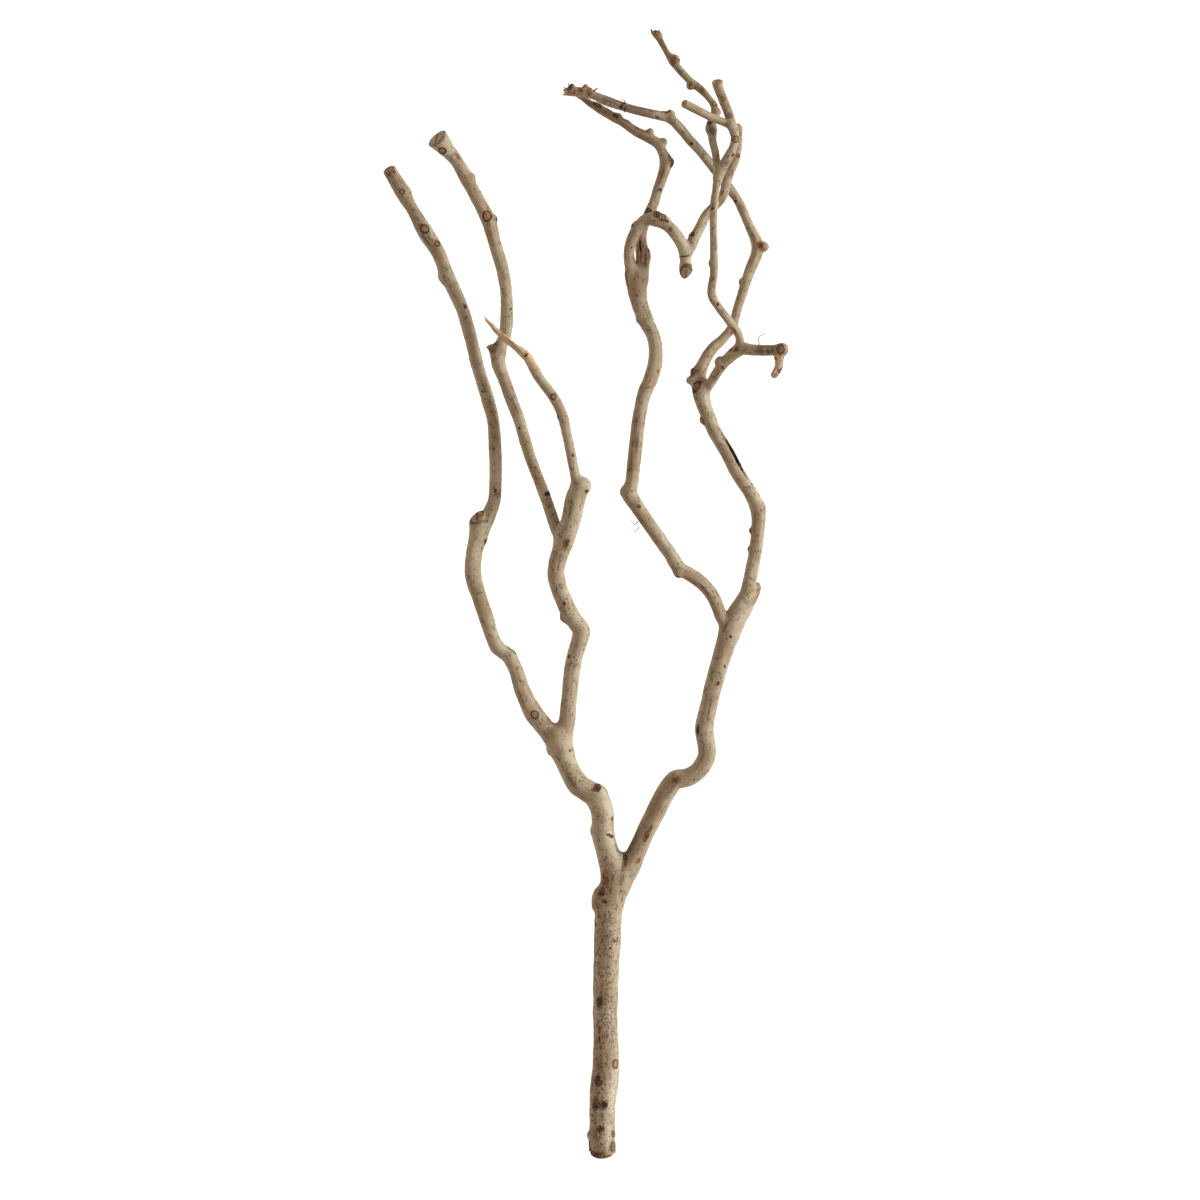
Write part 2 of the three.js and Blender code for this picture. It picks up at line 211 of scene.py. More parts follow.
def line_frames(curve):
    """The direction of a curve at each of its points, and the two directions square to it: aside,
    which lies level, and upwards."""
    along = np.gradient(curve[:, :3], axis=0)
    along /= np.linalg.norm(along, axis=1)[:, None]
    aside = np.stack([along[:, 1], -along[:, 0], np.zeros(len(along))], 1)
    aside /= np.linalg.norm(aside, axis=1)[:, None]
    return along, aside, np.cross(aside, along)


def grow(piece, points, tone, fillet=3.0, saw=None, foot_saw=None, knobs=(), marks=()):
    """Lays a growth line into the wood. tone goes from 0, pale, to 1, brown. saw and foot_saw are
    the way that a sawn end faces, as (aside, upwards, outwards), how far back it lies in mm, and
    how fresh it is, from 0, greyed all over, to 1, tan, where it isn't 1. fillet is in mm. knobs
    are healed side shoots, as (x, y, z, width), and marks are as finish_marks takes them."""
    curve = growth_curve(points, TUBE_STEP)
    along, aside, upwards = line_frames(curve)
    cuts = []
    for way, end, sign in ((foot_saw, 0, -1), (saw, -1, 1)):
        if way:
            facing = way[0] * aside[end] + way[1] * upwards[end] + way[2] * sign * along[end]
            facing /= np.linalg.norm(facing)
            middle = curve[end, :3] - sign * along[end] * way[3] / 1000
            freshness = way[4] if len(way) > 4 else 1.0
            squareness = abs(float(facing @ along[end]))
            cuts.append((middle, facing, curve[end, 3], squareness, freshness))
            beyond = np.append(curve[end, :3] + sign * along[end] * curve[end, 3] * 1.5,
                               curve[end, 3])[None]
            curve = np.vstack([beyond, curve] if end == 0 else [curve, beyond])
    part, near = tube(curve)
    for middle, facing, *_ in cuts:
        x, y, z = grid_places(part)
        past = ((x - middle[0]) * facing[0] + (y - middle[1]) * facing[1]
                + (z - middle[2]) * facing[2]).astype(np.float32)
        far = (x - middle[0])**2 + (y - middle[1])**2 + (z - middle[2])**2 > SAW_SPAN**2
        past[far] = -REACH
        shared = np.maximum(SAW_ROUNDING - np.abs(near - past), 0)
        near = np.minimum(np.maximum(near, past) + shared**2 / (4 * SAW_ROUNDING), REACH)
    unite(part, near, fillet / 1000)
    for x, y, z, width in knobs:
        middle = np.array([x, y, z, width / 2]) / 1000 + FOOT
        unite(*tube(np.vstack([middle, middle + [0, 0, 0.0001, 0]])), KNOB_FILLET * width)
    lines.append({"piece": piece, "points": points, "tone": tone, "cuts": cuts, "marks": marks})


def place_on(line, along, turn, depth=0.0):
    """The place on the surface of a growth line at a distance along it and an angle round it, from
    the top towards the right, and the directions outwards and along there. All in metres."""
    curve = growth_curve(line["points"], FINE_STEP)
    ways = line_frames(curve)
    length = np.append(0, np.cumsum(np.linalg.norm(np.diff(curve[:, :3], axis=0), axis=1)))
    i = int(np.argmin(np.abs(length - along)))
    out = math.sin(math.radians(turn)) * ways[1][i] + math.cos(math.radians(turn)) * ways[2][i]
    return curve[i, :3] + out * (curve[i, 3] - depth), out, ways[0][i]


trunk_points = [
    (0, -2.6, 9.5, 20.6), (-0.6, 20, 9.4, 20.2), (-0.4, 40, 9.8, 21.2), (1, 58, 10.3, 22),
    (2.6, 74, 11.2, 21.4), (2.2, 92, 12, 20), (2, 126, 14, 20), (2.6, 149, 15.5, 20.4),
    (3.6, 174, 17.6, 21.6), (4.2, 192, 19.2, 22), (6.8, 210, 21, 23), (9.2, 222, 22.2, 22.4),
    (10.4, 230, 22.8, 19), (12.8, 237.5, 24.6, 14),
]
# Marks are (kind, mm along the line, degrees round it, length, width and height in mm, lean).
# ring, eye and pit are knots, dark, rust, pale, brown and purple are stains, and bark, fresh and
# torn are what the bare wood is covered or roughened with. Pale marks on a part's lit right side
# are painted highlight as well as pale wood, and the broad dark mark on the right limb's shaded
# left side is painted shade as well as a stain.
trunk_marks = [
    ("pit", 44, 6, 8, 6, 0.6), ("eye", 43, -30, 8, 7, 0.4), ("dark", 35, -2, 6, 2.4),
    ("eye", 24, -8, 5.5, 6.5), ("ring", 77, 44, 7, 6.4, 0.6), ("pit", 97, -31, 6, 1.5),
    ("rust", 105, -32, 9, 4), ("eye", 127, -33, 9, 6, 0.2), ("dark", 131, -20, 12, 3),
    ("eye", 177, 32, 3, 2.4), ("eye", 171, 14, 2.4, 2), ("rust", 196, -42, 5, 5),
    ("eye", 189, -64, 3, 3), ("dark", 198, 6, 9, 2), ("rust", 225, -50, 16, 7),
    ("rust", 216, -44, 12, 8), ("eye", 214, -42, 6, 6, 0.4), ("eye", 208, -22, 2.6, 4, 0.3),
    ("eye", 226, -52, 9, 3), ("bark", 7, 78, 15, 6, 0.5), ("bark", 20, 74, 8, 4, 0.4),
    ("rust", 4, -30, 6, 22), ("dark", 2, -60, 4, 14), ("dark", 60, -60, 22, 4),
    ("eye", 11, -78, 8, 5, 0.2), ("eye", 5.4, -66, 5, 10), ("eye", 3, -34, 4.4, 12),
    # The two pale marks on the trunk's lit right side are painted highlight as well as pale
    # weathered wood.
    ("dark", 2, 0, 4, 14), ("rust", 2, 30, 4, 14), ("pale", 62, 46, 60, 9), ("pale", 20, 30, 26, 7),
    ("rust", 128, -30, 13, 8), ("rust", 47, -30, 9, 7), ("eye", 63, -28, 9, 7, 0.4),
    ("ring", 66, 168, 7, 6, 0.6), ("eye", 112, 140, 5, 5, 0.4), ("eye", 153, -150, 6, 5, 0.4),
    ("dark", 228, 30, 14, 5), ("rust", 12, -140, 12, 9),
]
grow("trunk", trunk_points, 0.5, foot_saw=(0.05, -0.47, 0.88, 5.2),
     knobs=[(-8.6, 16, 13, 7.6), (-2.2, 203, 20, 13.4), (-1.4, 210, 21, 12)], marks=trunk_marks)

# ---- The left limb and the branches on it --------------------------------------------------------
# The left limb leans out of the main fork and forks again into a long outer branch with a sawn
# side stub, and a thick inner branch. A twig that snapped off to a splinter, and a branch that
# ends in a swollen sawn cap, grow on the inner branch. All are bare wood, with healed knots.

grow("left_limb", [
    (10, 216, 22, 18), (6, 236, 24.4, 19), (2, 250, 26, 18.4), (0, 262, 27.4, 18.4),
    (-1, 278, 29.2, 18.4), (-6, 288.5, 30.4, 18.8), (-20, 299, 32.4, 17.6), (-29, 315, 34.8, 17.6),
    (-34, 328, 36.6, 20), (-37, 337, 37.8, 21.6),
], 0.06, fillet=4.0,
     knobs=[(-6.4, 261.6, 28, 7), (-2.6, 292, 34, 11), (-40, 326, 37, 8)],
     marks=[
         ("eye", 80, 40, 5, 9, 0.5), ("bark", 80, 38, 3.4, 6), ("eye", 74, 62, 3.4, 2),
         ("eye", 57, 55, 4.4, 2.8), ("eye", 42, 44, 2.8, 5), ("eye", 44, 26, 2.2, 4),
         # The long pale mark on the lit right side is painted highlight as well as pale weathered
         # wood.
         ("pale", 50, 30, 60, 9), ("rust", 8, -40, 14, 8), ("eye", 127, 90, 2.6, 2.4),
         ("eye", 122, 43, 2.2, 2), ("eye", 126, -88, 4, 4, 0.5), ("dark", 30, 60, 14, 5),
         ("ring", 66, -155, 6, 5.4, 0.5), ("dark", 100, -20, 20, 4),
     ])

grow("left_outer_branch", [
    (-36, 329, 36.4, 14), (-46, 344, 38.6, 14.8), (-55, 355, 40.6, 15.2), (-64, 373, 43.4, 13.2),
    (-70, 391, 45.6, 11.8), (-76, 402, 47, 12), (-84, 408, 48.4, 12), (-89, 418, 50, 11.4),
    (-93, 431, 52, 12.2), (-98, 446, 54.2, 12), (-104, 467, 57, 13), (-103, 483, 58, 13.2),
    (-99, 498, 57.4, 14.6), (-92, 513, 54.6, 12), (-87, 525, 52, 10.4), (-86, 539, 49.6, 10),
    (-86, 561, 45.6, 10.4), (-88, 590, 40, 10), (-92, 606, 36.6, 10.6), (-100, 632, 30.6, 10.4),
    (-107, 660, 23.6, 10.8), (-113, 680, 18.4, 11), (-125, 707, 11.4, 11.2),
    (-133, 727, 6.6, 11.4), (-142, 741, 5.2, 13.2), (-153, 760, 6.2, 9.8), (-161, 774, 8.4, 12),
    (-172.6, 793.4, 11.8, 10.6),
], 0.2, saw=(0, 0.34, 0.94, 0.8),
     knobs=[(-74, 401, 50, 8), (-104, 639, 30, 4.4), (-127, 706, 12, 10), (-158.4, 775, 8.4, 7)],
     marks=[
         ("ring", 33, 3, 8, 7, 0.6), ("eye", 84, 60, 4, 3, 0.4), ("pit", 88, 62, 3.4, 1.4),
         ("eye", 228, 2, 3, 2.6, 0.3), ("eye", 340, -80, 2.4, 2, 0.3),
         ("eye", 382, 32, 3.4, 3, 0.4), ("ring", 439, 30, 5.6, 5, 0.5), ("ring", 455, 8, 9, 7, 0.6),
         ("ring", 491, 1, 4.6, 4.4, 0.4), ("eye", 508, 30, 3, 2.6), ("dark", 448, -30, 20, 3),
         ("pale", 176, 0, 34, 12), ("ring", 140, 150, 6, 5, 0.5), ("eye", 260, 165, 4, 3.4, 0.4),
         ("ring", 400, -160, 5, 4.6, 0.5), ("rust", 508, -20, 5, 8), ("eye", 186, 62, 5, 4, 0.3),
         ("bark", 179, 58, 6, 3),
     ])
grow("left_outer_branch", [(-99.6, 496, 57.6, 13.6), (-100.4, 507, 59.6, 13),
                           (-100.4, 514.4, 61, 11.6)], 0.3, fillet=2.0,
     saw=(-0.45, 0.46, 0.76, 1.6), marks=[("dark", 14, 0, 6, 30)])

grow("left_inner_branch", [
    (-34, 326, 36.4, 13), (-30, 342, 39, 13.4), (-28.6, 352, 41, 13.2), (-27, 370, 44.6, 12.8),
    (-23, 400, 51.6, 13.2), (-19, 413, 54.6, 13.6), (-17.6, 422, 56.8, 14.4), (-23, 430, 59, 14),
    (-30, 443, 62, 13.6), (-36, 459, 65, 13.8), (-37.6, 471, 67, 14), (-34, 484, 69.2, 14.2),
    (-30, 496, 71.4, 16), (-25, 512, 74.2, 15.6), (-22, 527, 77, 16), (-18, 538, 79.4, 14.4),
], 0.2, fillet=4.0,
     knobs=[(-30, 432, 60, 8), (-15, 537, 80, 10)],
     marks=[
         ("eye", 78, -43, 3, 2.6, 0.2), ("eye", 127, -6, 3, 2.6, 0.2), ("rust", 178, 17, 17, 8),
         ("eye", 179, 20, 7, 3, 0.2), ("eye", 224, 50, 3, 3, 0.3), ("dark", 205, -16, 22, 2),
         ("dark", 158, 13, 12, 2), ("dark", 166, 6, 10, 2), ("eye", 117, -80, 4, 3, 0.2),
         ("ring", 60, 160, 6, 5, 0.5), ("dark", 99, 70, 9, 4),
     ])

grow("left_broken_twig", [
    (-20, 533, 78.6, 9), (-22, 545, 81, 8.4), (-24, 555, 82.8, 8), (-28, 575, 86, 8),
    (-31.4, 590, 88, 8.6), (-37.6, 605, 89.8, 8.4), (-52, 625, 91.4, 8), (-60, 639.4, 91.4, 7.6),
    (-66, 644.6, 91.2, 6.6), (-70, 647.6, 90.8, 5.4), (-82, 657.8, 89, 4.4),
    (-92.6, 669, 86.8, 2.6),
], 0.25,
     marks=[
         ("ring", 79, -3, 5.4, 5, 0.5), ("eye", 118, 6, 2, 4, 0.7), ("eye", 30, 20, 3, 2.4, 0.2),
         ("eye", 62, -60, 4, 3, 0.4), ("fresh", 137, 0, 58, 60), ("ring", 50, 170, 4, 3.6, 0.4),
     ])
grow("left_broken_twig", [(-63.5, 643, 92.6, 2.4), (-72, 649.6, 91.8, 2), (-80, 656.6, 90.6, 1.2)],
     0.25, fillet=1.0, marks=[("fresh", 10, 0, 30, 60)])

grow("left_middle_branch", [
    (-31, 491, 70, 9), (-37, 502, 67.6, 9.4), (-41, 514, 65.4, 9.6), (-46, 529, 62.8, 9.2),
    (-58, 560, 58, 9.2), (-67, 590, 54, 9.6), (-73, 606, 52.2, 9.6), (-79.4, 624, 50.2, 10),
    (-84, 637, 49, 11.6), (-82.4, 648, 48.4, 11), (-78.8, 657, 47.8, 10.2), (-77, 670, 47.2, 10),
    (-77.4, 693, 47.2, 9.6), (-80, 709, 48, 10.2), (-86.6, 732, 50, 10.4), (-92, 751, 52.2, 11.8),
    (-102, 770, 55.2, 10.4), (-110, 785, 58, 11), (-118, 798, 61, 10.6), (-126.6, 808, 63.8, 14),
    (-133, 815, 65.8, 17.6),
], 0.2, fillet=4.0, saw=(0, 0.22, 0.97, 0.4),
     knobs=[(-46, 530, 66, 6), (-86, 644, 49, 8), (-88, 751, 53, 6), (-105, 784, 58, 6)],
     marks=[
         ("pit", 42, 24, 4, 4, 0.5), ("pit", 167, -78, 5, 4, 0.4), ("dark", 166, -40, 9, 6),
         ("pale", 160, 31, 4, 3), ("ring", 277, 2, 9, 8, 0.7), ("eye", 272, 66, 4, 4, 0.4),
         ("ring", 342, -30, 7, 6.4, 0.6), ("dark", 349, 20, 4, 14), ("eye", 200, 40, 2.4, 2, 0.1),
         ("eye", 100, -20, 2.4, 2, 0.1), ("ring", 120, 170, 5, 4.4, 0.5), ("rust", 330, 40, 9, 5),
         ("dark", 120, 10, 26, 2.4), ("eye", 240, -150, 4, 4, 0.4),
     ])
grow("left_middle_branch", [(-82, 643, 48.6, 9), (-87.4, 647.4, 49.2, 8), (-90.4, 650, 49.6, 7)],
     0.9, fillet=1.6, saw=(0.4, 0.3, 0.8, 0.4), marks=[("dark", 8, 0, 6, 30)])

# ---- The right limb and the branches on it -------------------------------------------------------
# The right limb climbs in a double bend to an oval sawn stub at the right fork. The right outer
# branch carries on from it, split along one side by a long crack, up to a fork with a rotted scar,
# and the centre branch arches away to the left, up to a fork that tore as it grew.

grow("right_limb", [
    (13, 216, 21.6, 15), (22, 233, 23.6, 16.4), (29, 249, 26, 15.4), (41, 274, 29, 15.6),
    (51, 293, 31, 16), (58, 302, 32, 16), (67.4, 304, 33, 15.4), (77, 310, 34, 14.4),
    (83, 321, 35, 14.2), (83, 330, 35.8, 14.4), (81, 342, 36.8, 15), (83, 355, 38, 14.4),
    (87, 372, 39.4, 14), (93, 394, 41, 14.8), (97.6, 410, 42, 16), (103, 425, 43, 18),
    (111, 440, 44.4, 17), (117.4, 449, 45.4, 13.6), (121.4, 454.6, 46.2, 11.6),
], 0.35, fillet=4.5, saw=(0.05, 0.85, 0.52, 2.4, 0.16),
     marks=[
         ("eye", 154, -41, 8, 3.4, 0.4), ("pit", 154, -41, 5, 1.2), ("rust", 112, 32, 4, 3.4),
         ("rust", 49, 14, 18, 7), ("eye", 46, 18, 8, 2.4), ("rust", 27, 33, 8, 5),
         ("eye", 56, 16, 4, 2), ("rust", 99, 0, 13, 8), ("eye", 99, 4, 6, 3),
         # The broad dark mark on the shaded left side just above the fork is painted shade as well
         # as a dark stain.
         ("eye", 208, 36, 3, 2), ("eye", 193, 24, 3.4, 2.4), ("dark", 36, -64, 34, 12),
         ("eye", 25, -54, 5, 6), ("rust", 18, -34, 20, 5), ("dark", 22, -44, 10, 6),
         ("brown", 74, -10, 84, 12), ("pale", 20, 6, 22, 6), ("ring", 90, 160, 6, 5, 0.5),
         ("ring", 180, 150, 6, 6, 0.5), ("dark", 170, 10, 30, 2.4), ("dark", 92, 20, 18, 4),
         ("pale", 248, 10, 22, 16), ("dark", 238, -32, 15, 2.4, 0, 12), ("eye", 232, 12, 2.4, 2.2),
     ])

grow("right_outer_branch", [
    (107, 436, 44, 11), (114, 449, 45.8, 11.4), (118, 465, 48, 11.2), (122, 487, 51, 10.8),
    (124, 505, 53, 11.2), (123.6, 519, 54.4, 12), (118, 531.6, 55.4, 11.6), (107, 548, 56.4, 11.4),
    (99, 564, 57, 11.2), (90, 579, 57, 11), (84, 593, 56.2, 11.2), (79, 608, 54.8, 13),
    (77, 619, 53.2, 14.4),
], 0.05,
     knobs=[(118, 487, 51, 5), (119, 502, 53, 5), (126, 521, 54.6, 8), (80, 590, 56, 5)],
     marks=[
         ("eye", 54, -74, 3, 3, 0.2), ("eye", 69, -78, 3, 3, 0.2), ("pit", 134, 54, 44, 3.4),
         ("bark", 125, 42, 8, 2.4, 0.2), ("ring", 195, -26, 12.4, 6, 0, 48),
         ("ring", 169, -76, 7, 5, 0.7), ("pale", 186, 20, 20, 5), ("ring", 100, 165, 5, 5, 0.5),
         ("eye", 30, 150, 4, 4, 0.4),
     ])
right_outer = lines[-1]


def surface_path(path, depth):
    """A curve at a depth under the right outer branch's surface, in metres, through places given
    as (mm along, degrees round, radius in mm)."""
    return np.array([[*place_on(right_outer, along / 1000, turn, depth)[0], radius / 1000]
                     for along, turn, radius in path])


# The long crack, with the swollen lip that grew along it, and the rotted scar.
lip_path = ((114, 83, 0.4), (120, 77, 0.9), (128, 71, 1.0), (137, 71, 1.0), (146, 79, 0.9),
            (155, 89, 0.4))
crack_path = ((114, 62, 0.2), (120, 56, 0.8), (128, 50, 1.1), (137, 50, 1.1), (146, 58, 0.8),
              (155, 68, 0.2))
unite(*tube(surface_path(lip_path, 0.0004)), 0.0008)
for depth in (0.0002, 0.0013, 0.0026):
    carve(*tube(surface_path(crack_path, depth)), 0.0004)
scar_path = ((191, -50, 1.0), (195, -26, 1.5), (198, -6, 1.3))
carve(*tube(surface_path(scar_path, -0.0004)), 0.0005)

grow("centre_branch", [
    (101, 423, 43.4, 9.6), (95, 432, 46, 10), (92, 440, 48.6, 10.2), (88, 449, 51.6, 10.8),
    (80, 459, 54.6, 11.2), (71, 466, 57, 11), (61, 472, 59.4, 11.2), (53, 484, 62, 11.2),
    (38, 505, 65, 11.2), (27, 521, 67, 11.6), (21, 531, 68, 12.6), (23, 541, 69, 11),
    (25, 560, 70, 10.8), (27.2, 579, 70.2, 10.8), (29.6, 596, 70, 10.8), (33, 611, 69.2, 11.4),
    (38.4, 623, 68.2, 12), (41.6, 636, 67, 11.8), (42, 646, 66, 11.2), (40, 657, 64.8, 11.2),
    (34, 670, 63, 12), (28.6, 685, 61, 13.6), (27, 697, 59.8, 16.4), (26.6, 705, 59.2, 18),
], 0.45,
     knobs=[(60, 468, 60, 7), (17.6, 533, 68, 7), (30, 671, 64, 7)],
     marks=[
         ("eye", 65, -70, 3, 3, 0.3), ("eye", 127, 16, 3.4, 3, 0.3), ("eye", 141, -84, 4, 3.4, 0.3),
         ("eye", 284, -80, 3, 3, 0.3), ("rust", 314, -62, 18, 4, 0, -8),
         ("dark", 314, -66, 12, 2, 0, -8), ("ring", 90, 165, 5, 4.6, 0.5),
         ("ring", 220, -160, 5, 5, 0.5), ("dark", 180, 10, 24, 3), ("rust", 240, 40, 5, 4),
         ("dark", 40, -20, 20, 3),
     ])

# The bark of the two limbs grew into a fold between them.
fold = [(17, 242, 31.8, 1.0), (17.2, 235, 32.2, 2.4), (16.6, 228, 33, 2.2), (15.2, 221, 34, 0.6)]
carve(*tube(growth_curve(fold, TUBE_STEP)), 0.0012)

# ---- The crown of twigs --------------------------------------------------------------------------
# Thin crooked twigs, browner than the limbs, with a joint at each bend where a bud grew. Some
# were sawn off, and the others broke off and ended ragged.

grow("back_branch", [
    (78, 611, 52, 9.4), (77, 626, 48, 11), (82, 639, 44, 9.6), (88, 648, 41, 9.2),
    (96, 655.6, 37.8, 7.8), (104, 666, 33, 7.6), (107, 677, 28.2, 7.6), (110, 687, 23.6, 7.8),
    (114, 699, 17.6, 8.2), (118.4, 712, 11.2, 8.8), (123, 723, 6, 9.4), (124.4, 731, 4.2, 10),
    (122, 739, 5.6, 9), (118, 747, 8.6, 8), (108, 768, 17, 7.6), (102, 776, 20.4, 7.8),
    (87, 795, 28, 7.6), (78.6, 805.4, 32, 7.6), (68.6, 816, 36, 7.8), (61, 825, 38.6, 7.8),
    (53, 832, 40.6, 8), (38, 835.6, 43, 7.6), (26, 838.4, 44.2, 7.2), (12.6, 842.2, 44.8, 7.2),
    (1.8, 846, 45.2, 7.8), (-7.2, 850, 45, 7), (-14, 852.4, 44.8, 8), (-21, 853, 44.6, 8),
    (-26, 853.4, 44.4, 8), (-29.8, 853, 44.2, 6.4),
], 0.75, fillet=3.0, saw=(0, 0.35, 0.93, 0.8),
     knobs=[(70, 622, 49, 7), (73, 629, 48, 6), (111, 702, 17, 5), (130, 730.6, 7, 7.4),
            (54.6, 835.4, 42, 6.6), (-24.8, 857.4, 46, 4.6), (-13.6, 856.8, 46.4, 4.6),
            (-10, 854.4, 47.2, 4), (-15.4, 853.4, 47.4, 5)],
     marks=[
         ("pit", 13, -84, 5, 4, 0.4), ("eye", 20, -78, 4, 4, 0.5), ("rust", 16, -60, 9, 8),
         ("eye", 109, -80, 3, 3, 0.4), ("rust", 142, 20, 9, 7), ("eye", 141, 86, 4, 4, 0.3),
         ("eye", 282, -30, 2.4, 2.4, 0.2), ("dark", 260, 60, 40, 4), ("dark", 230, 60, 30, 4),
         ("dark", 318, 60, 34, 5), ("bark", 344, 30, 8, 7, 0.3), ("bark", 339, 8, 6, 6, 0.3),
         ("dark", 302, 30, 24, 3), ("eye", 312, 0, 1.2, 12), ("ring", 276, 70, 5, 5, 0.7),
         ("eye", 355, 44, 6, 4), ("purple", 296, 12, 26, 7, 0.1), ("bark", 352, -6, 9, 4, 0.3),
         ("purple", 322, 26, 16, 5, 0.1), ("eye", 290, 44, 18, 1.2), ("dark", 320, 0, 30, 1.4),
         ("purple", 270, -10, 12, 6), ("dark", 200, 60, 24, 4), ("eye", 185, -30, 3, 3, 0.3),
         ("eye", 60, 40, 3, 2.6, 0.3), ("eye", 245, -20, 3, 3, 0.4),
     ])

grow("front_branch", [
    (80, 611, 55, 8), (87.6, 622.4, 61, 8), (92, 629.4, 65.2, 8.2), (99, 638, 71, 9),
    (105, 643.4, 75, 10.2), (110, 646.4, 77.4, 10), (119, 645.4, 80.2, 9.2), (133, 645, 84, 8.8),
    (142.6, 645.6, 86.6, 8.2),
], 0.5, fillet=3.0, knobs=[(93, 636.4, 70, 7.6), (101, 639, 71.5, 6.8), (142.2, 645.8, 87, 9)],
     marks=[
         ("ring", 32, -74, 5, 5, 0.6), ("eye", 31, 19, 3, 2.4, 0.1), ("dark", 69, -8, 8, 12),
         ("ring", 86, -4, 6.6, 6.6, 0.3), ("rust", 86, 0, 9, 10), ("dark", 77, 10, 12, 5),
         ("rust", 50, -10, 6, 6), ("dark", 76, -40, 16, 3), ("dark", 20, 20, 12, 3),
         ("eye", 46, -50, 4, 2.4, 0.2),
     ])
grow("front_branch", [(141, 645.4, 86, 8), (139.9, 639.5, 85.4, 7.8), (140, 634, 84.6, 6.8),
                      (138.7, 629.8, 84, 6.4), (136.4, 625.4, 83.4, 5.6)], 0.3, fillet=1.6,
     knobs=[(137.8, 627, 84.4, 4.2), (135.4, 626, 83, 3.8)],
     marks=[
         ("fresh", 14, 10, 18, 30), ("eye", 7, -84, 20, 4), ("eye", 16, -40, 3, 4, 0.2),
         ("eye", 7, 60, 2, 6), ("torn", 19, 10, 5, 8),
     ])

grow("long_twig", [
    (108, 645, 76, 6.6), (108.4, 656, 81.6, 6.8), (100.4, 668, 86, 6.8), (92, 679, 89, 6.8),
    (86.8, 688, 91.2, 7.4), (86.4, 694, 92.6, 7), (88, 705, 95, 6.6), (88, 727, 98.8, 6.4),
    (87.6, 750, 102, 6), (88, 760, 103, 6.6), (89.4, 772, 104, 6), (90.8, 781, 105, 6.8),
    (91.6, 789, 105.6, 7.6),
], 0.35, fillet=2.4, knobs=[(86, 714, 96.6, 4.4)],
     marks=[
         ("rust", 67, 1, 6, 4), ("eye", 77, -70, 2.4, 2.4, 0.3), ("eye", 123, -18, 3, 2.6, 0.4),
         ("eye", 45, 10, 3, 2.6, 0.4), ("dark", 95, 20, 20, 2), ("eye", 140, 160, 3, 3, 0.3),
         ("rust", 20, -20, 8, 3),
     ])

grow("forked_twig", [
    (91, 780.6, 105, 6.6), (95.4, 791, 106, 7.6), (100.2, 799, 106.4, 8.2),
    (103.4, 806, 106.6, 6.6),
    (104.6, 814, 106.6, 6.6), (103, 822, 106.2, 7), (98.6, 835, 105, 7.8), (94.4, 845, 103.4, 8),
    (91.4, 854, 101.4, 8.6), (90.6, 859, 100.4, 9.4),
], 0.3, fillet=2.0, saw=(0, 0.62, 0.8, 1.2),
     marks=[
         ("ring", 34, 13, 5.6, 7, 0.5), ("bark", 34, 13, 3, 4.6), ("dark", 53, 3, 7, 9),
         ("ring", 67, 4, 4, 3.6, 0.4), ("dark", 14, 30, 8, 5), ("eye", 22, 40, 3, 3, 0.4),
     ])
grow("forked_twig", [(104.2, 816, 106.6, 6), (100.6, 822.4, 107.2, 6.4), (94.6, 825.4, 107.8, 6.4),
                     (86.8, 828.4, 109, 6.4), (76.4, 833.6, 111, 6.8), (63, 840.4, 113, 6.8)],
     0.05, fillet=2.0, saw=(0, 0.4, 0.9, 0.8), marks=[("dark", 10, 0, 6, 10)])

grow("tip_twig", [
    (90.6, 783, 104.6, 5.4), (90, 794, 103, 6), (89, 802, 101, 6.2), (87, 811, 98, 6.6),
    (87, 818.6, 94.8, 7.2), (86.2, 825, 92.4, 7.6), (89, 834, 89.8, 6.4), (87.6, 840.4, 88.6, 5.8),
    (83, 846.6, 87.6, 5.8), (77, 853, 86.6, 6.4), (70.8, 857.8, 86, 6), (64, 864.6, 85, 6),
    (56.8, 873, 84, 5.8), (52, 880, 83, 5.2), (48, 887, 82, 5), (44.6, 893.4, 81.2, 5.6),
    (41.4, 898.6, 80.6, 7),
], 1.0, fillet=2.0, saw=(0.25, 0.6, 0.75, 0.4),
     knobs=[(69, 854.8, 86.4, 5.8), (57.2, 876.4, 83.8, 8.2), (52.4, 878.4, 83, 3.4),
            (46, 896.2, 81.4, 3), (85.6, 820, 94, 8.2), (91, 834, 90, 6)],
     marks=[
         ("eye", 43, -19, 4, 4, 0.5), ("dark", 36, 0, 9, 9), ("ring", 60, 23, 4, 4.4, 0.5),
         ("eye", 85, -28, 3, 3, 0.4), ("eye", 110, 40, 1.4, 7), ("rust", 108, 30, 9, 11),
         ("eye", 107, 60, 4, 3, 0.2), ("dark", 98, -20, 9, 3), ("rust", 75, 10, 7, 4),
         ("rust", 124, 20, 18, 3), ("eye", 134, 60, 2, 5),
     ])

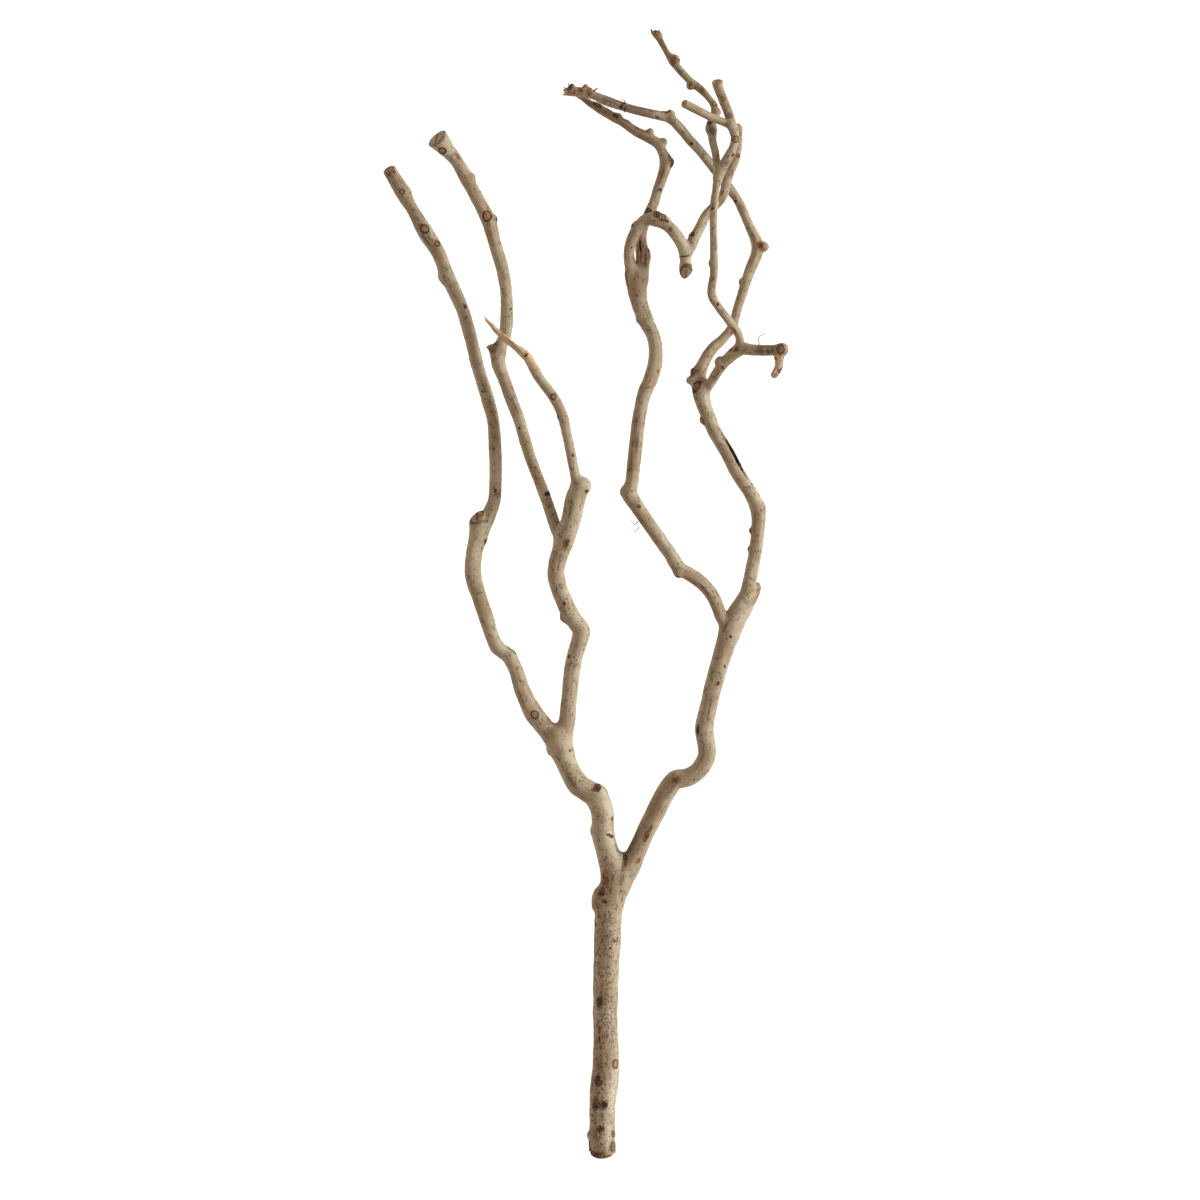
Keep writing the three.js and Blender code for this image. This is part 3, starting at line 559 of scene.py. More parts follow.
grow("arch_twig", [
    (24, 702, 60, 9), (21, 717, 62.8, 9.2), (21, 727, 65.8, 8.8), (23.6, 735, 68.8, 9.2),
    (28, 743, 72, 9.6), (33.6, 749, 74.6, 9.4), (43, 748.6, 76, 10.4), (52, 744, 76, 9.6),
    (59, 736, 75.2, 9.6), (64, 727, 74.2, 10.2), (65.6, 717, 73, 9), (66, 705, 71.8, 8.8),
], 0.0, fillet=3.0, saw=(-0.2, 0.8, 0.58, 2.4),
     knobs=[(26, 745, 72, 6), (42, 751, 77, 9.4), (48, 749, 77, 8), (66, 711, 72.4, 9.4)],
     marks=[
         ("rust", 6, -70, 18, 6), ("bark", 8, -74, 13, 3.4, 0.2), ("brown", 34, -20, 18, 6),
         ("eye", 44, -62, 3, 3, 0.5), ("eye", 62, -44, 4, 5, 0.6), ("ring", 66, -32, 4.4, 5, 0.4),
         ("eye", 69, -26, 5, 2, 0.2), ("bark", 64, -40, 5, 5), ("pale", 34, 24, 34, 7),
         ("pit", 75, 76, 5, 1.4), ("pale", 86, 10, 26, 8), ("dark", 76, 10, 5, 5),
         ("eye", 28, 24, 2.4, 1.6), ("pale", 8, 20, 18, 8), ("eye", 101, 10, 1.2, 9),
     ])

grow("bent_twig", [
    (31, 702, 58.8, 10.5), (31.4, 714, 57, 11.4), (31.8, 723, 55.4, 11.6), (30.6, 731, 54, 9.4),
    (31, 740, 52.2, 8.4), (34.4, 750, 50.4, 8.6), (38, 757.4, 49.2, 8.8), (41, 765, 48, 8.4),
    (44, 775, 46.4, 8.4), (47, 783, 45, 8.8), (50, 795, 43, 9.4), (48, 804, 41.4, 8),
    (44, 811.6, 39.8, 8.4), (36, 817, 38.2, 8.4), (26, 822, 36.6, 7.8), (16, 829, 35, 7),
    (11, 831.6, 34.4, 7), (4.6, 835.8, 33.8, 7.8), (-2.6, 840, 33, 7.6), (-10.8, 844.8, 32.2, 5.8),
    (-16.4, 848.8, 31.8, 4.4), (-21, 851, 31.6, 3),
], 0.95, fillet=2.0,
     knobs=[(52.6, 797, 43, 7), (48.6, 813.4, 40, 6.4), (38, 821.6, 38.6, 6), (12, 833.6, 34, 6.6),
            (35, 721, 58, 6.6), (36, 724.8, 57.4, 3.4), (34, 715, 60, 4)],
     marks=[
         ("pale", 64, 2, 4, 3), ("pale", 58, -20, 3, 2), ("eye", 100, 60, 7, 4, 0.2),
         ("pit", 97, 60, 2, 1.6), ("pit", 103, 56, 2, 1.6), ("rust", 115, 84, 4, 5),
         ("rust", 127, 84, 4, 5), ("bark", 101, 62, 15, 5, 0.6), ("pale", 95, 40, 5, 3),
         ("torn", 25, -46, 26, 8, 0.2, -6), ("torn", 34, 10, 10, 4), ("eye", 23, 46, 2.4, 2.4, 0.2),
         ("rust", 14, 34, 9, 6), ("dark", 16, 10, 16, 5), ("dark", 88, -10, 20, 3),
         ("eye", 57, -20, 5, 6, 0.2), ("bark", 12, -60, 8, 4, 0.2), ("pit", 24, -14, 18, 1.6),
         ("dark", 135, 40, 18, 4), ("rust", 174, 30, 12, 8, 0.2), ("eye", 174, 34, 7, 5, 0.3),
         ("bark", 156, 30, 12, 5, 0.4), ("eye", 157, 20, 5, 2), ("eye", 76, 30, 3, 3, 0.3),
         ("purple", 182, 0, 14, 6), ("bark", 146, 70, 8, 4, 0.3),
     ])
# The tear runs down beside the arch, and the bark parted where the twig's root pulled away.
for crack_points in (
        [(30.2, 735, 57.4, 0.6), (30.4, 730, 59.2, 1.4), (30.2, 724, 61, 1.8), (30.8, 718, 62, 1.4),
         (31.4, 714, 62.4, 0.6)],
        [(28, 717.4, 61.6, 0.5), (31, 714.6, 63, 1.2), (34, 712.8, 62.4, 1.2),
         (38, 710.4, 60, 0.6)]):
    carve(*tube(growth_curve(crack_points, TUBE_STEP)), 0.0004)

grow("crossing_twig", [
    (66, 721, 73.4, 7.4), (70, 727, 73, 8), (73, 735, 72, 8.6), (77.6, 744, 70.2, 8.4),
    (82, 752.6, 68.2, 8), (89.6, 761, 65.6, 7.8), (95.4, 768, 63.6, 8), (98.2, 778, 61.2, 8),
    (101.6, 788, 59, 7.4), (104.8, 796, 57.4, 7.6), (107.4, 808, 55, 7.8), (108, 817, 53, 7.2),
    (107.2, 823, 52, 7),
], 0.55, fillet=3.0, knobs=[(71, 736, 72, 5.6), (107.4, 823, 52, 7.6)],
     marks=[
         ("eye", 17, -32, 4, 3.4, 0.4), ("eye", 92, 26, 3.4, 3, 0.4), ("dark", 50, 40, 14, 3),
         ("eye", 60, -20, 3, 2.6, 0.3), ("rust", 110, 0, 8, 8), ("dark", 78, 20, 9, 3),
     ])

# ---- The skin ------------------------------------------------------------------------------------
# The bare surface of the wood. It is drawn off the grid as one closed skin, roughened by the
# wood's growth and the weather, and cut into the parts of the branch.

grid = openvdb.FloatGrid(background=REACH)
grid.copyFromArray(wood)
skin, quads = grid.convertToQuads(isovalue=0.0)
del grid, wood
skin = low_corner + np.asarray(skin, float) * VOXEL
quads = np.asarray(quads, np.int64)
sides = np.concatenate([quads[:, [k, (k + 1) % 4]] for k in range(4)])
neighbours = np.bincount(sides.ravel(), minlength=len(skin))


def relax(values, share):
    """Moves each value on the skin towards the mean of its neighbours'."""
    mean = np.stack([np.bincount(sides[:, 0], values[sides[:, 1], k], len(skin))
                     + np.bincount(sides[:, 1], values[sides[:, 0], k], len(skin))
                     for k in range(values.shape[1])], 1) / neighbours[:, None]
    return values + share * (mean - values)


def skin_normals():
    """The direction out of the skin at each of its points."""
    out = np.cross(skin[quads[:, 2]] - skin[quads[:, 0]], skin[quads[:, 3]] - skin[quads[:, 1]])
    total = np.stack([sum(np.bincount(quads[:, corner], out[:, k], len(skin))
                          for corner in range(4)) for k in range(3)], 1)
    return total / np.linalg.norm(total, axis=1)[:, None]


for share in (0.5, -0.4, 0.5, -0.4):
    skin = relax(skin, share)
volume = np.einsum("ij,ij->i", skin[quads[:, 0]],
                   np.cross(skin[quads[:, 1]], skin[quads[:, 2]])
                   + np.cross(skin[quads[:, 2]], skin[quads[:, 3]])).sum()
if volume < 0:
    quads = quads[:, ::-1]
outward = skin_normals()

MARK_REACH = 0.0028  # how far off its line's surface the skin still takes a mark
TONE_FADE = 0.0015
TONE_REACH = 0.008
SAWN_DEPTH = 0.0005  # a sawn end's colour starts this far inside its plane
SAWN_EDGE = 0.0004
SAWN_OVERHANG = 0.0012
FORK_SPREAD = 0.004  # parts that lie this far apart have left their fork

# Where each point of the skin lies on the growth lines: across, upwards and along, in metres.
piece_names = list(dict.fromkeys(line["piece"] for line in lines))
away = np.full((len(piece_names), len(skin)), 1.0)
closest = np.full(len(skin), 1.0)
grain = np.zeros((len(skin), 3))
thickness = np.full(len(skin), 0.004)
tone_sum = np.zeros(len(skin))
tone_weight = np.zeros(len(skin))
bump = np.zeros(len(skin))
knot = np.full((len(skin), 3), 9.0)
knot[:, 2] = 0
stain_and_painted_light = np.zeros((len(skin), 3))  # dark, rust, pale
age = np.zeros((len(skin), 3))  # brown, steady grain, pores
torn = np.zeros((len(skin), 3))  # fresh wood, bark, torn
cut = np.zeros((len(skin), 3))  # across and up a sawn end, and how much of it shows
weathering_and_shade = np.zeros((len(skin), 3))  # thin inner bark, painted shade in hollows, brown tan
STAINS_AND_PAINTED_LIGHT = {"dark": (stain_and_painted_light, 0), "rust": (stain_and_painted_light, 1), "pale": (stain_and_painted_light, 2),
          "fresh": (torn, 0), "bark": (torn, 1), "torn": (torn, 2),
          "purple": (weathering_and_shade, 0), "brown": (weathering_and_shade, 2)}
ROT = {"ring": 0.0, "eye": 0.5, "pit": 1.0}
KNOT_HOLLOW = {"ring": 0.0003, "eye": 0.00035, "pit": 0.001}
KNOT_REACH = 2.4  # how far a knot's pattern reaches, in radii of the knot


def finish_marks(line, chosen, along, turn, radius):
    """Puts a line's marks on the chosen points of the skin. A mark is (kind, mm along the line,
    degrees round it from the top to the right, its length and width in mm), then its height in mm
    and the degrees that its length leans to the right, where they aren't 0."""
    for kind, at, angle, length, width, *rest in line["marks"]:
        height, slant = (*rest, 0, 0)[:2]
        v = along - at / 1000
        u = ((turn - math.radians(angle) + math.pi) % (2 * math.pi) - math.pi) * radius
        lean = math.radians(slant)
        u, v = (u * math.cos(lean) - v * math.sin(lean), u * math.sin(lean) + v * math.cos(lean))
        u, v = u / (width / 2000), v / (length / 2000)
        r = np.hypot(u, v)
        if kind in ROT:
            inside = r < np.minimum(KNOT_REACH, np.hypot(knot[chosen, 0], knot[chosen, 1]))
            here = chosen[inside]
            knot[here, 0], knot[here, 1], knot[here, 2] = u[inside], v[inside], ROT[kind]
            rim = np.exp(-((r - 0.95) / 0.35) ** 2)
            middle = np.exp(-(r / 0.55) ** 2)
            bump[chosen] += height / 1000 * (np.exp(-(r / 1.25) ** 2) * 0.9 + rim * 0.35)
            bump[chosen] -= KNOT_HOLLOW[kind] * middle * min(1, width / 4)
        else:
            values, column = STAINS_AND_PAINTED_LIGHT[kind]
            values[chosen, column] = np.maximum(values[chosen, column], np.exp(-(r ** 2) * 0.9))
            if height:
                bump[chosen] += height / 1000 * np.clip(1.6 - 1.6 * r ** 2, 0, 1)


for line in lines:
    curve = growth_curve(line["points"], FINE_STEP)
    ways = line_frames(curve)
    length = np.append(0, np.cumsum(np.linalg.norm(np.diff(curve[:, :3], axis=0), axis=1)))
    spare = curve[:, 3:] + REACH
    lowest, highest = (curve[:, :3] - spare).min(0), (curve[:, :3] + spare).max(0)
    chosen = np.flatnonzero(((skin > lowest) & (skin < highest)).all(1))
    nearest = np.empty(len(chosen), int)
    for start in range(0, len(chosen), 20000):
        some = skin[chosen[start:start + 20000]]
        nearest[start:start + 20000] = np.argmin(
            (curve[:, :3] ** 2).sum(1) - 2 * some @ curve[:, :3].T, axis=1)
    offset = skin[chosen] - curve[nearest, :3]
    onward, across, upward = (np.einsum("ij,ij->i", offset, way[nearest]) for way in ways)
    at_end = (nearest == 0) | (nearest == len(curve) - 1)
    distance = np.sqrt(across ** 2 + upward ** 2 + np.where(at_end, onward, 0) ** 2)
    radius = curve[nearest, 3]
    from_skin = np.abs(distance - radius)
    row = piece_names.index(line["piece"])
    away[row, chosen] = np.minimum(away[row, chosen], distance - radius)
    near = np.exp(-np.maximum(distance - radius, 0) / TONE_FADE)
    near[distance - radius > TONE_REACH] = 0
    tone_sum[chosen] += near * line["tone"]
    tone_weight[chosen] += near
    for middle, facing, size, squareness, freshness in line["cuts"]:
        offset = skin[chosen] - middle
        past = offset @ facing
        level = np.cross(facing, (0, 0, 1.0))
        level /= np.linalg.norm(level)
        flat = ((past > -SAWN_DEPTH) & (distance - radius < SAWN_OVERHANG)
                & (np.linalg.norm(offset, axis=1) < size * 2.4))
        shown = freshness * np.clip((past[flat] + SAWN_DEPTH) / SAWN_EDGE, 0, 1)
        cut[chosen[flat]] = np.stack([offset[flat] @ level / size,
                                      offset[flat] @ np.cross(level, facing) * squareness / size,
                                      shown], 1)
    keep = from_skin < MARK_REACH
    chosen, along = chosen[keep], (length[nearest] + onward)[keep]
    across, upward, radius, from_skin = across[keep], upward[keep], radius[keep], from_skin[keep]
    better = from_skin < closest[chosen]
    here = chosen[better]
    closest[here] = from_skin[better]
    grain[here] = np.stack([across, upward, along], 1)[better]
    thickness[here] = radius[better]
    if line is lines[0]:  # the trunk has the most pores, and more towards its foot
        age[here, 2] = 0.45 + 0.75 * np.exp(-along[better] / 0.07)
    finish_marks(line, chosen, along, np.arctan2(across, upward), radius)

age[:, 0] = tone_sum / np.maximum(tone_weight, 1e-9)
ranked = np.sort(away, axis=0)
apart = np.clip((ranked[1] - ranked[0]) / FORK_SPREAD, 0, 1)
age[:, 1] = apart * apart * (3 - 2 * apart)
age = relax(relax(age, 0.5), 0.5)


def drift(places, seed):
    """A smooth random number from -1 to 1 at each place, with waves about 1 apart."""
    table = np.random.default_rng(seed).uniform(-1, 1, 8192)
    cell = np.floor(places).astype(np.int64)
    part = places - cell
    part = part * part * (3 - 2 * part)
    total = np.zeros(len(places))
    for corner in np.ndindex(2, 2, 2):
        weight = np.prod(np.where(corner, part, 1 - part), axis=1)
        index = (cell + corner) @ np.array([73856093, 19349663, 83492791])
        total += weight * table[index % len(table)]
    return total


# The wood's own unevenness: slow swellings, ridges along the grain, and small folds near forks.
steady = age[:, 1]
for waves, seed, height in (
        (skin / 0.012, 1, 0.045 * thickness),
        (skin / 0.0062, 2, 0.03 * thickness),
        (grain / (0.0021, 0.0021, 0.022), 3, 0.00016 * steady),
        (grain / (0.004, 0.004, 0.0016), 4, 0.00009 * (1.5 - steady)),
        (skin / 0.0013, 5, 0.00006),
        (grain / (0.001, 0.001, 0.006), 6, 0.0009 * torn[:, 2]),
        (grain / (0.0009, 0.0009, 0.005), 7, 0.0006 * torn[:, 0]),
        (skin / 0.0016, 8, 0.0006 * torn[:, 1])):
    bump += drift(waves, seed) * height
bump *= 1 - cut[:, 2]
skin = skin + outward * bump[:, None]
skin[:, 2] = np.maximum(skin[:, 2], 0)
outward = skin_normals()

# Painted shade is laid where the skin is hollow, in creases and crotches.
HOLLOW_DEPTH = 0.00022
smoother = skin
for _ in range(6):
    smoother = relax(smoother, 0.8)
depth = np.einsum("ij,ij->i", smoother - skin, outward)
weathering_and_shade[:, 1] = np.clip(depth / HOLLOW_DEPTH - 0.15, 0, 1)

# Each part keeps the skin that lies nearest to it. At a fork the part that grew first keeps it.
HEAD_START = 0.0003
order = np.linspace(1, 0, len(piece_names))[:, None]
owner = np.argmin(away - HEAD_START * (away < HEAD_START) * order, axis=0)
quad_owner = owner[quads].min(1)


def wood_part(name):
    """The closed mesh of one part of the branch, cut from the skin."""
    own = quads[quad_owner == piece_names.index(name)]
    used, own = np.unique(own, return_inverse=True)
    own = own.reshape(-1, 4)
    edges = np.concatenate([own[:, [k, (k + 1) % 4]] for k in range(4)])
    keys = edges[:, 0] * len(used) + edges[:, 1]
    open_edges = edges[~np.isin(keys, edges[:, 1] * len(used) + edges[:, 0])]
    follow = dict(open_edges.tolist())
    places, caps = [tuple(p) for p in skin[used].tolist()], []
    while follow:
        first = next(iter(follow))
        loop = [first]
        while loop[-1] in follow:
            loop.append(follow.pop(loop[-1]))
        places.append(tuple(np.mean([places[k] for k in loop[:-1]], axis=0)))
        caps += [(b, a, len(places) - 1) for a, b in zip(loop, loop[1:])]
    mesh = bpy.data.meshes.new(name)
    mesh.from_pydata(places, [], own.tolist() + caps)
    mesh.polygons.foreach_set("use_smooth", np.ones(len(mesh.polygons), bool))
    spare = np.zeros((len(places) - len(used), 3))
    for label, values in (("grain", grain), ("knot", knot), ("stain_and_painted_light", stain_and_painted_light), ("age", age),
                          ("torn", torn), ("cut", cut), ("weathering_and_shade", weathering_and_shade)):
        layer = mesh.attributes.new(label, "FLOAT_VECTOR", "POINT")
        values = np.vstack([values[used], spare])
        layer.data.foreach_set("vector", values.astype(np.float32).ravel())
    ways = np.vstack([outward[used], spare + (0, 0, 1)])
    mesh.normals_split_custom_set_from_vertices(ways.tolist())
    piece = bpy.data.objects.new("wood_" + name, mesh)
    scene.collection.objects.link(piece)
    return piece


# ---- The finish of the wood ----------------------------------------------------------------------
# Wood that has stood in the weather: khaki and beige, greyed in streaks, with dark pores, rings
# where knots healed, tan end grain on the sawn ends and pinkish wood where it tore.

class Wiring:
    """Adds nodes to a tree and joins them up."""

    def __init__(self, tree):
        self.tree = tree

    def put(self, socket, value):
        if isinstance(value, bpy.types.NodeSocket):
            self.tree.links.new(value, socket)
        elif value is not None:
            socket.default_value = value

    def math(self, operation, a, b=None, c=None, clamp=False):
        node = self.tree.nodes.new("ShaderNodeMath")
        node.operation, node.use_clamp = operation, clamp
        for socket, value in zip(node.inputs, (a, b, c)):
            self.put(socket, value)
        return node.outputs[0]

    def times(self, a, b):
        return self.math("MULTIPLY", a, b)

    def plus(self, a, b):
        return self.math("ADD", a, b)

    def vector(self, operation, a, b=None):
        node = self.tree.nodes.new("ShaderNodeVectorMath")
        node.operation = operation
        self.put(node.inputs[0], a)
        self.put(node.inputs[1], b)
        return node.outputs["Value" if operation == "LENGTH" else "Vector"]

    def from_middle(self, u, v):
        """How far a place lies from the middle of a knot or a sawn end."""
        node = self.tree.nodes.new("ShaderNodeCombineXYZ")
        self.put(node.inputs[0], u)
        self.put(node.inputs[1], v)
        return self.vector("LENGTH", node.outputs[0])

    def noise(self, place, scale, detail=3.0, roughness=0.55, colour=False):
        node = self.tree.nodes.new("ShaderNodeTexNoise")
        self.put(node.inputs["Vector"], place)
        self.put(node.inputs["Scale"], scale)
        self.put(node.inputs["Detail"], detail)
        self.put(node.inputs["Roughness"], roughness)
        return node.outputs["Color" if colour else "Fac"]

    def cells(self, place):
        """How far a place lies from the middle of its cell, and the cell's random numbers."""
        node = self.tree.nodes.new("ShaderNodeTexVoronoi")
        self.put(node.inputs["Vector"], place)
        self.put(node.inputs["Scale"], 1.0)
        return node.outputs["Distance"], self.parts(node.outputs["Color"])

    def range(self, value, low, high, to_low=0.0, to_high=1.0):
        node = self.tree.nodes.new("ShaderNodeMapRange")
        node.interpolation_type = "SMOOTHSTEP"
        for label, number in (("Value", value), ("From Min", low), ("From Max", high),
                              ("To Min", to_low), ("To Max", to_high)):
            self.put(node.inputs[label], number)
        return node.outputs["Result"]

    def mix(self, share, a, b, way="MIX"):
        node = self.tree.nodes.new("ShaderNodeMix")
        node.data_type, node.blend_type = "RGBA", way
        self.put(node.inputs["Factor"], share)
        self.put(node.inputs[6], a)
        self.put(node.inputs[7], b)
        return node.outputs[2]

    def parts(self, vector):
        node = self.tree.nodes.new("ShaderNodeSeparateXYZ")
        self.put(node.inputs[0], vector)
        return node.outputs

    def attribute(self, name):
        node = self.tree.nodes.new("ShaderNodeAttribute")
        node.attribute_name = name
        return node.outputs["Vector"]

    def relief(self, shader, height, strength, depth):
        """Roughens a shader's surface by a height, which is depth metres high at 1."""
        node = self.tree.nodes.new("ShaderNodeBump")
        node.inputs["Strength"].default_value = strength
        node.inputs["Distance"].default_value = depth
        self.put(node.inputs["Height"], height)
        self.put(shader.inputs["Normal"], node.outputs["Normal"])


def node_group(name, inputs, outputs):
    """A shader group with named inputs and outputs, the sockets to read and those to fill."""
    group = bpy.data.node_groups.new(name, "ShaderNodeTree")
    for label, kind in inputs:
        group.interface.new_socket(label, in_out="INPUT", socket_type="NodeSocket" + kind)
    for label, kind in outputs:
        group.interface.new_socket(label, in_out="OUTPUT", socket_type="NodeSocket" + kind)
    given = group.nodes.new("NodeGroupInput").outputs
    return Wiring(group), given, group.nodes.new("NodeGroupOutput").inputs


# Bare weathered wood.
w, given, made = node_group(
    "weathered wood",
    [("Place", "Vector"), ("Grain", "Vector"), ("Age", "Vector"), ("Pores", "Float")],
    [("Color", "Color"), ("Height", "Float"), ("Rough", "Float")])
brown, steady_grain, pores = w.parts(given["Age"])
fibres = w.vector("MULTIPLY", given["Grain"], (900, 900, 55))
streaks = w.noise(fibres, 1.0, 4.0, 0.6)
broad = w.noise(w.vector("MULTIPLY", given["Grain"], (260, 260, 18)), 1.0, 3.0, 0.6)
clouds = w.noise(given["Place"], 42, 4.0, 0.6)
patches = w.noise(given["Place"], 115, 4.0, 0.62)
fine = w.noise(given["Place"], 1500, 3.0, 0.6)
colour = w.mix(w.range(clouds, 0.36, 0.66), (0.415, 0.352, 0.250, 1), (0.330, 0.250, 0.160, 1))
colour = w.mix(w.times(w.range(patches, 0.5, 0.72), 0.6), colour, (0.225, 0.185, 0.122, 1))
colour = w.mix(w.times(w.range(broad, 0.56, 0.72), w.times(steady_grain, 0.55)),
               colour, (0.56, 0.480, 0.365, 1))
colour = w.mix(w.times(w.range(streaks, 0.54, 0.74), w.times(steady_grain, 0.5)),
               colour, (0.170, 0.135, 0.092, 1))
colour = w.mix(w.times(w.range(fine, 0.42, 0.68), 0.38), colour, (0.19, 0.135, 0.085, 1))
browner = w.mix(1.0, colour, (0.66, 0.60, 0.54, 1), "MULTIPLY")
colour = w.mix(w.times(brown, 0.5), colour, browner)

# Short dark dashes along the grain.
distance, chances = w.cells(w.vector("ADD", w.vector("MULTIPLY", given["Grain"], (520, 520, 230)),
                                     w.noise(given["Place"], 500, 2.0, 0.5, colour=True)))
picked = w.math("GREATER_THAN", w.plus(chances[1], w.times(pores, 0.4)), 0.74)
dash = w.times(w.range(distance, 0.10, 0.26, 1.0, 0.0), picked)
dash = w.times(dash, w.range(steady_grain, 0.0, 0.6, 0.3, 1.0))
colour = w.mix(w.times(dash, 0.62), colour, (0.115, 0.088, 0.058, 1))
blotches = w.times(w.range(w.noise(given["Place"], 190, 5.0, 0.68), 0.56, 0.68),
                  w.math("MULTIPLY_ADD", pores, 0.42, 0.2))
colour = w.mix(blotches, colour, (0.150, 0.098, 0.060, 1))

# Pores, of uneven size and outline, which crowd together here and there.
unevenness = w.vector("MULTIPLY", w.noise(given["Place"], 900, 3.0, 0.7, colour=True),
                      (2.2, 2.2, 2.2))
distance, chances = w.cells(w.vector("ADD", w.vector("MULTIPLY", given["Grain"], (760, 760, 430)),
                                     unevenness))
chance = chances[0]
dot = w.range(w.math("DIVIDE", distance, w.math("MULTIPLY_ADD", chance, 0.30, 0.32)),
              0.72, 1.12, 1.0, 0.0)
crowding = w.times(w.math("SUBTRACT", w.noise(given["Place"], 95, 4.0, 0.65), 0.5), 1.9)
likely = w.plus(w.plus(chance, w.times(pores, 0.5)), crowding)
shown = w.math("GREATER_THAN", likely, w.math("SUBTRACT", 1.0, given["Pores"]))
dots = w.times(dot, shown)
colour = w.mix(w.times(dots, w.math("MULTIPLY_ADD", pores, 0.2, 0.72, clamp=True)),
               colour, (0.075, 0.044, 0.027, 1))
w.put(made["Color"], colour)
height = w.plus(w.times(streaks, -0.5), w.times(fine, 0.35))
height = w.math("SUBTRACT", height, w.times(dots, 0.5))
w.put(made["Height"], w.math("SUBTRACT", height, w.times(patches, 0.4)))
w.put(made["Rough"], w.range(clouds, 0.3, 0.7, 0.62, 0.86))

# Knots, from a healed ring round a tan middle to a rotten dark hole.
w, given, made = node_group("knots", [("Knot", "Vector"), ("Place", "Vector")],
                            [("Color", "Color"), ("Mask", "Float"), ("Height", "Float")])
u, v, rot = w.parts(given["Knot"])
unrest = w.math("MULTIPLY_ADD", w.range(rot, 0.1, 0.4), 0.75, 0.42)
ragged = w.plus(w.math("SUBTRACT", w.noise(given["Place"], 900, 3.0, 0.6), 0.5),
                w.math("SUBTRACT", w.noise(given["Place"], 330, 2.0, 0.5), 0.5))
r = w.math("MULTIPLY_ADD", ragged, unrest, w.from_middle(u, v))
grit = w.noise(given["Place"], 820, 3.0, 0.65)
ring = w.times(w.range(r, 0.52, 0.70), w.range(r, 0.92, 1.10, 1.0, 0.0))
rings = w.math("MULTIPLY_ADD", w.math("SINE", w.times(r, 19)), 0.4, 0.45)
heart = w.mix(rings, (0.46, 0.310, 0.160, 1), (0.18, 0.100, 0.052, 1))
heart = w.mix(w.range(grit, 0.48, 0.58, 0.0, 0.85), heart, (0.085, 0.045, 0.026, 1))
scab = w.mix(w.range(w.plus(grit, w.times(r, 0.10)), 0.56, 0.68),
             (0.046, 0.023, 0.014, 1), (0.32, 0.200, 0.105, 1))
heart = w.mix(w.range(rot, 0.1, 0.5), heart, scab)
heart = w.mix(w.times(w.range(rot, 0.6, 1.0), w.range(r, 0.45, 0.8, 1.0, 0.0)), heart,
              (0.018, 0.012, 0.009, 1))
w.put(made["Color"], w.mix(w.times(ring, w.range(rot, 0.1, 0.5, 0.95, 0.3)), heart,
                           (0.058, 0.030, 0.018, 1)))
w.put(made["Mask"], w.range(r, 0.92, 1.16, 1.0, 0.0))
w.put(made["Height"], w.times(w.math("SINE", w.times(r, 14)), 0.5))

# Dark, rusty and pale stains, with painted highlight in pale marks on lit sides, painted shade in a
# dark mark on a shaded side and in the hollows, and remains of bark.
w, given, made = node_group(
    "stains",
    [("Color", "Color"), ("Stain", "Vector"), ("Torn", "Vector"), ("Weathering", "Vector"),
     ("Place", "Vector"), ("Grain", "Vector")],
    [("Color", "Color"), ("Height", "Float")])
dark, rust, pale = w.parts(given["Stain"])
fresh, bark, tear_mask = w.parts(given["Torn"])
inner_bark, hollow_shade, tanned = w.parts(given["Weathering"])
breakup = w.noise(given["Place"], 520, 4.0, 0.65)
fibre = w.noise(w.vector("MULTIPLY", given["Grain"], (1500, 1500, 90)), 1.0, 3.0, 0.6)


def stained_and_shaded(share, strength, colour, tint, first=0.38, full=0.72):
    """Lays a tint over a colour where its share and the break-up of the surface allow it. The tints
    are stains on the wood, and in the hollows painted shade.
    """
    edge = w.plus(share, w.times(w.math("SUBTRACT", breakup, 0.5), 1.3))
    return w.mix(w.times(w.range(edge, first, full), strength), colour, tint)


# Pale weathered wood, which on a part's lit right side is painted highlight as well.
colour = w.mix(w.times(pale, w.range(breakup, 0.36, 0.6, 0.2, 0.8)), given["Color"],
               (0.53, 0.465, 0.365, 1))
colour = w.mix(w.times(tanned, w.range(breakup, 0.3, 0.7, 0.25, 0.75)), colour,
               (0.200, 0.118, 0.066, 1))
peeling = w.mix(w.range(fibre, 0.35, 0.65), (0.120, 0.070, 0.052, 1), (0.23, 0.150, 0.108, 1))
colour = stained_and_shaded(inner_bark, 0.7, colour, peeling)
# Dark stains, which on the right limb's shaded left side are painted shade as well.
colour = w.mix(w.times(dark, 0.4), colour, (0.160, 0.125, 0.090, 1))
colour = stained_and_shaded(dark, 0.62, colour, (0.085, 0.060, 0.043, 1), 0.5, 0.85)
colour = w.mix(w.times(rust, 0.5), colour, (0.245, 0.138, 0.072, 1))
colour = stained_and_shaded(rust, 0.85, colour, (0.130, 0.052, 0.022, 1), 0.55, 0.85)
# Painted shade in the hollows, creases and crotches of the skin.
colour = stained_and_shaded(hollow_shade, 0.6, colour, (0.085, 0.060, 0.042, 1), 0.5, 0.95)
peeled = w.mix(w.range(fibre, 0.3, 0.7), (0.60, 0.46, 0.31, 1), (0.36, 0.235, 0.14, 1))
colour = w.mix(w.range(fresh, 0.25, 0.5), colour, peeled)
tear = w.mix(w.range(fibre, 0.46, 0.66), (0.52, 0.335, 0.235, 1), (0.13, 0.075, 0.05, 1))
colour = stained_and_shaded(tear_mask, 0.85, colour, tear)
crust = w.mix(w.range(breakup, 0.35, 0.6), (0.46, 0.235, 0.075, 1), (0.115, 0.06, 0.03, 1))
colour = stained_and_shaded(bark, 0.9, colour, crust)
w.put(made["Color"], colour)
w.put(made["Height"], w.times(fibre, w.plus(fresh, tear_mask)))

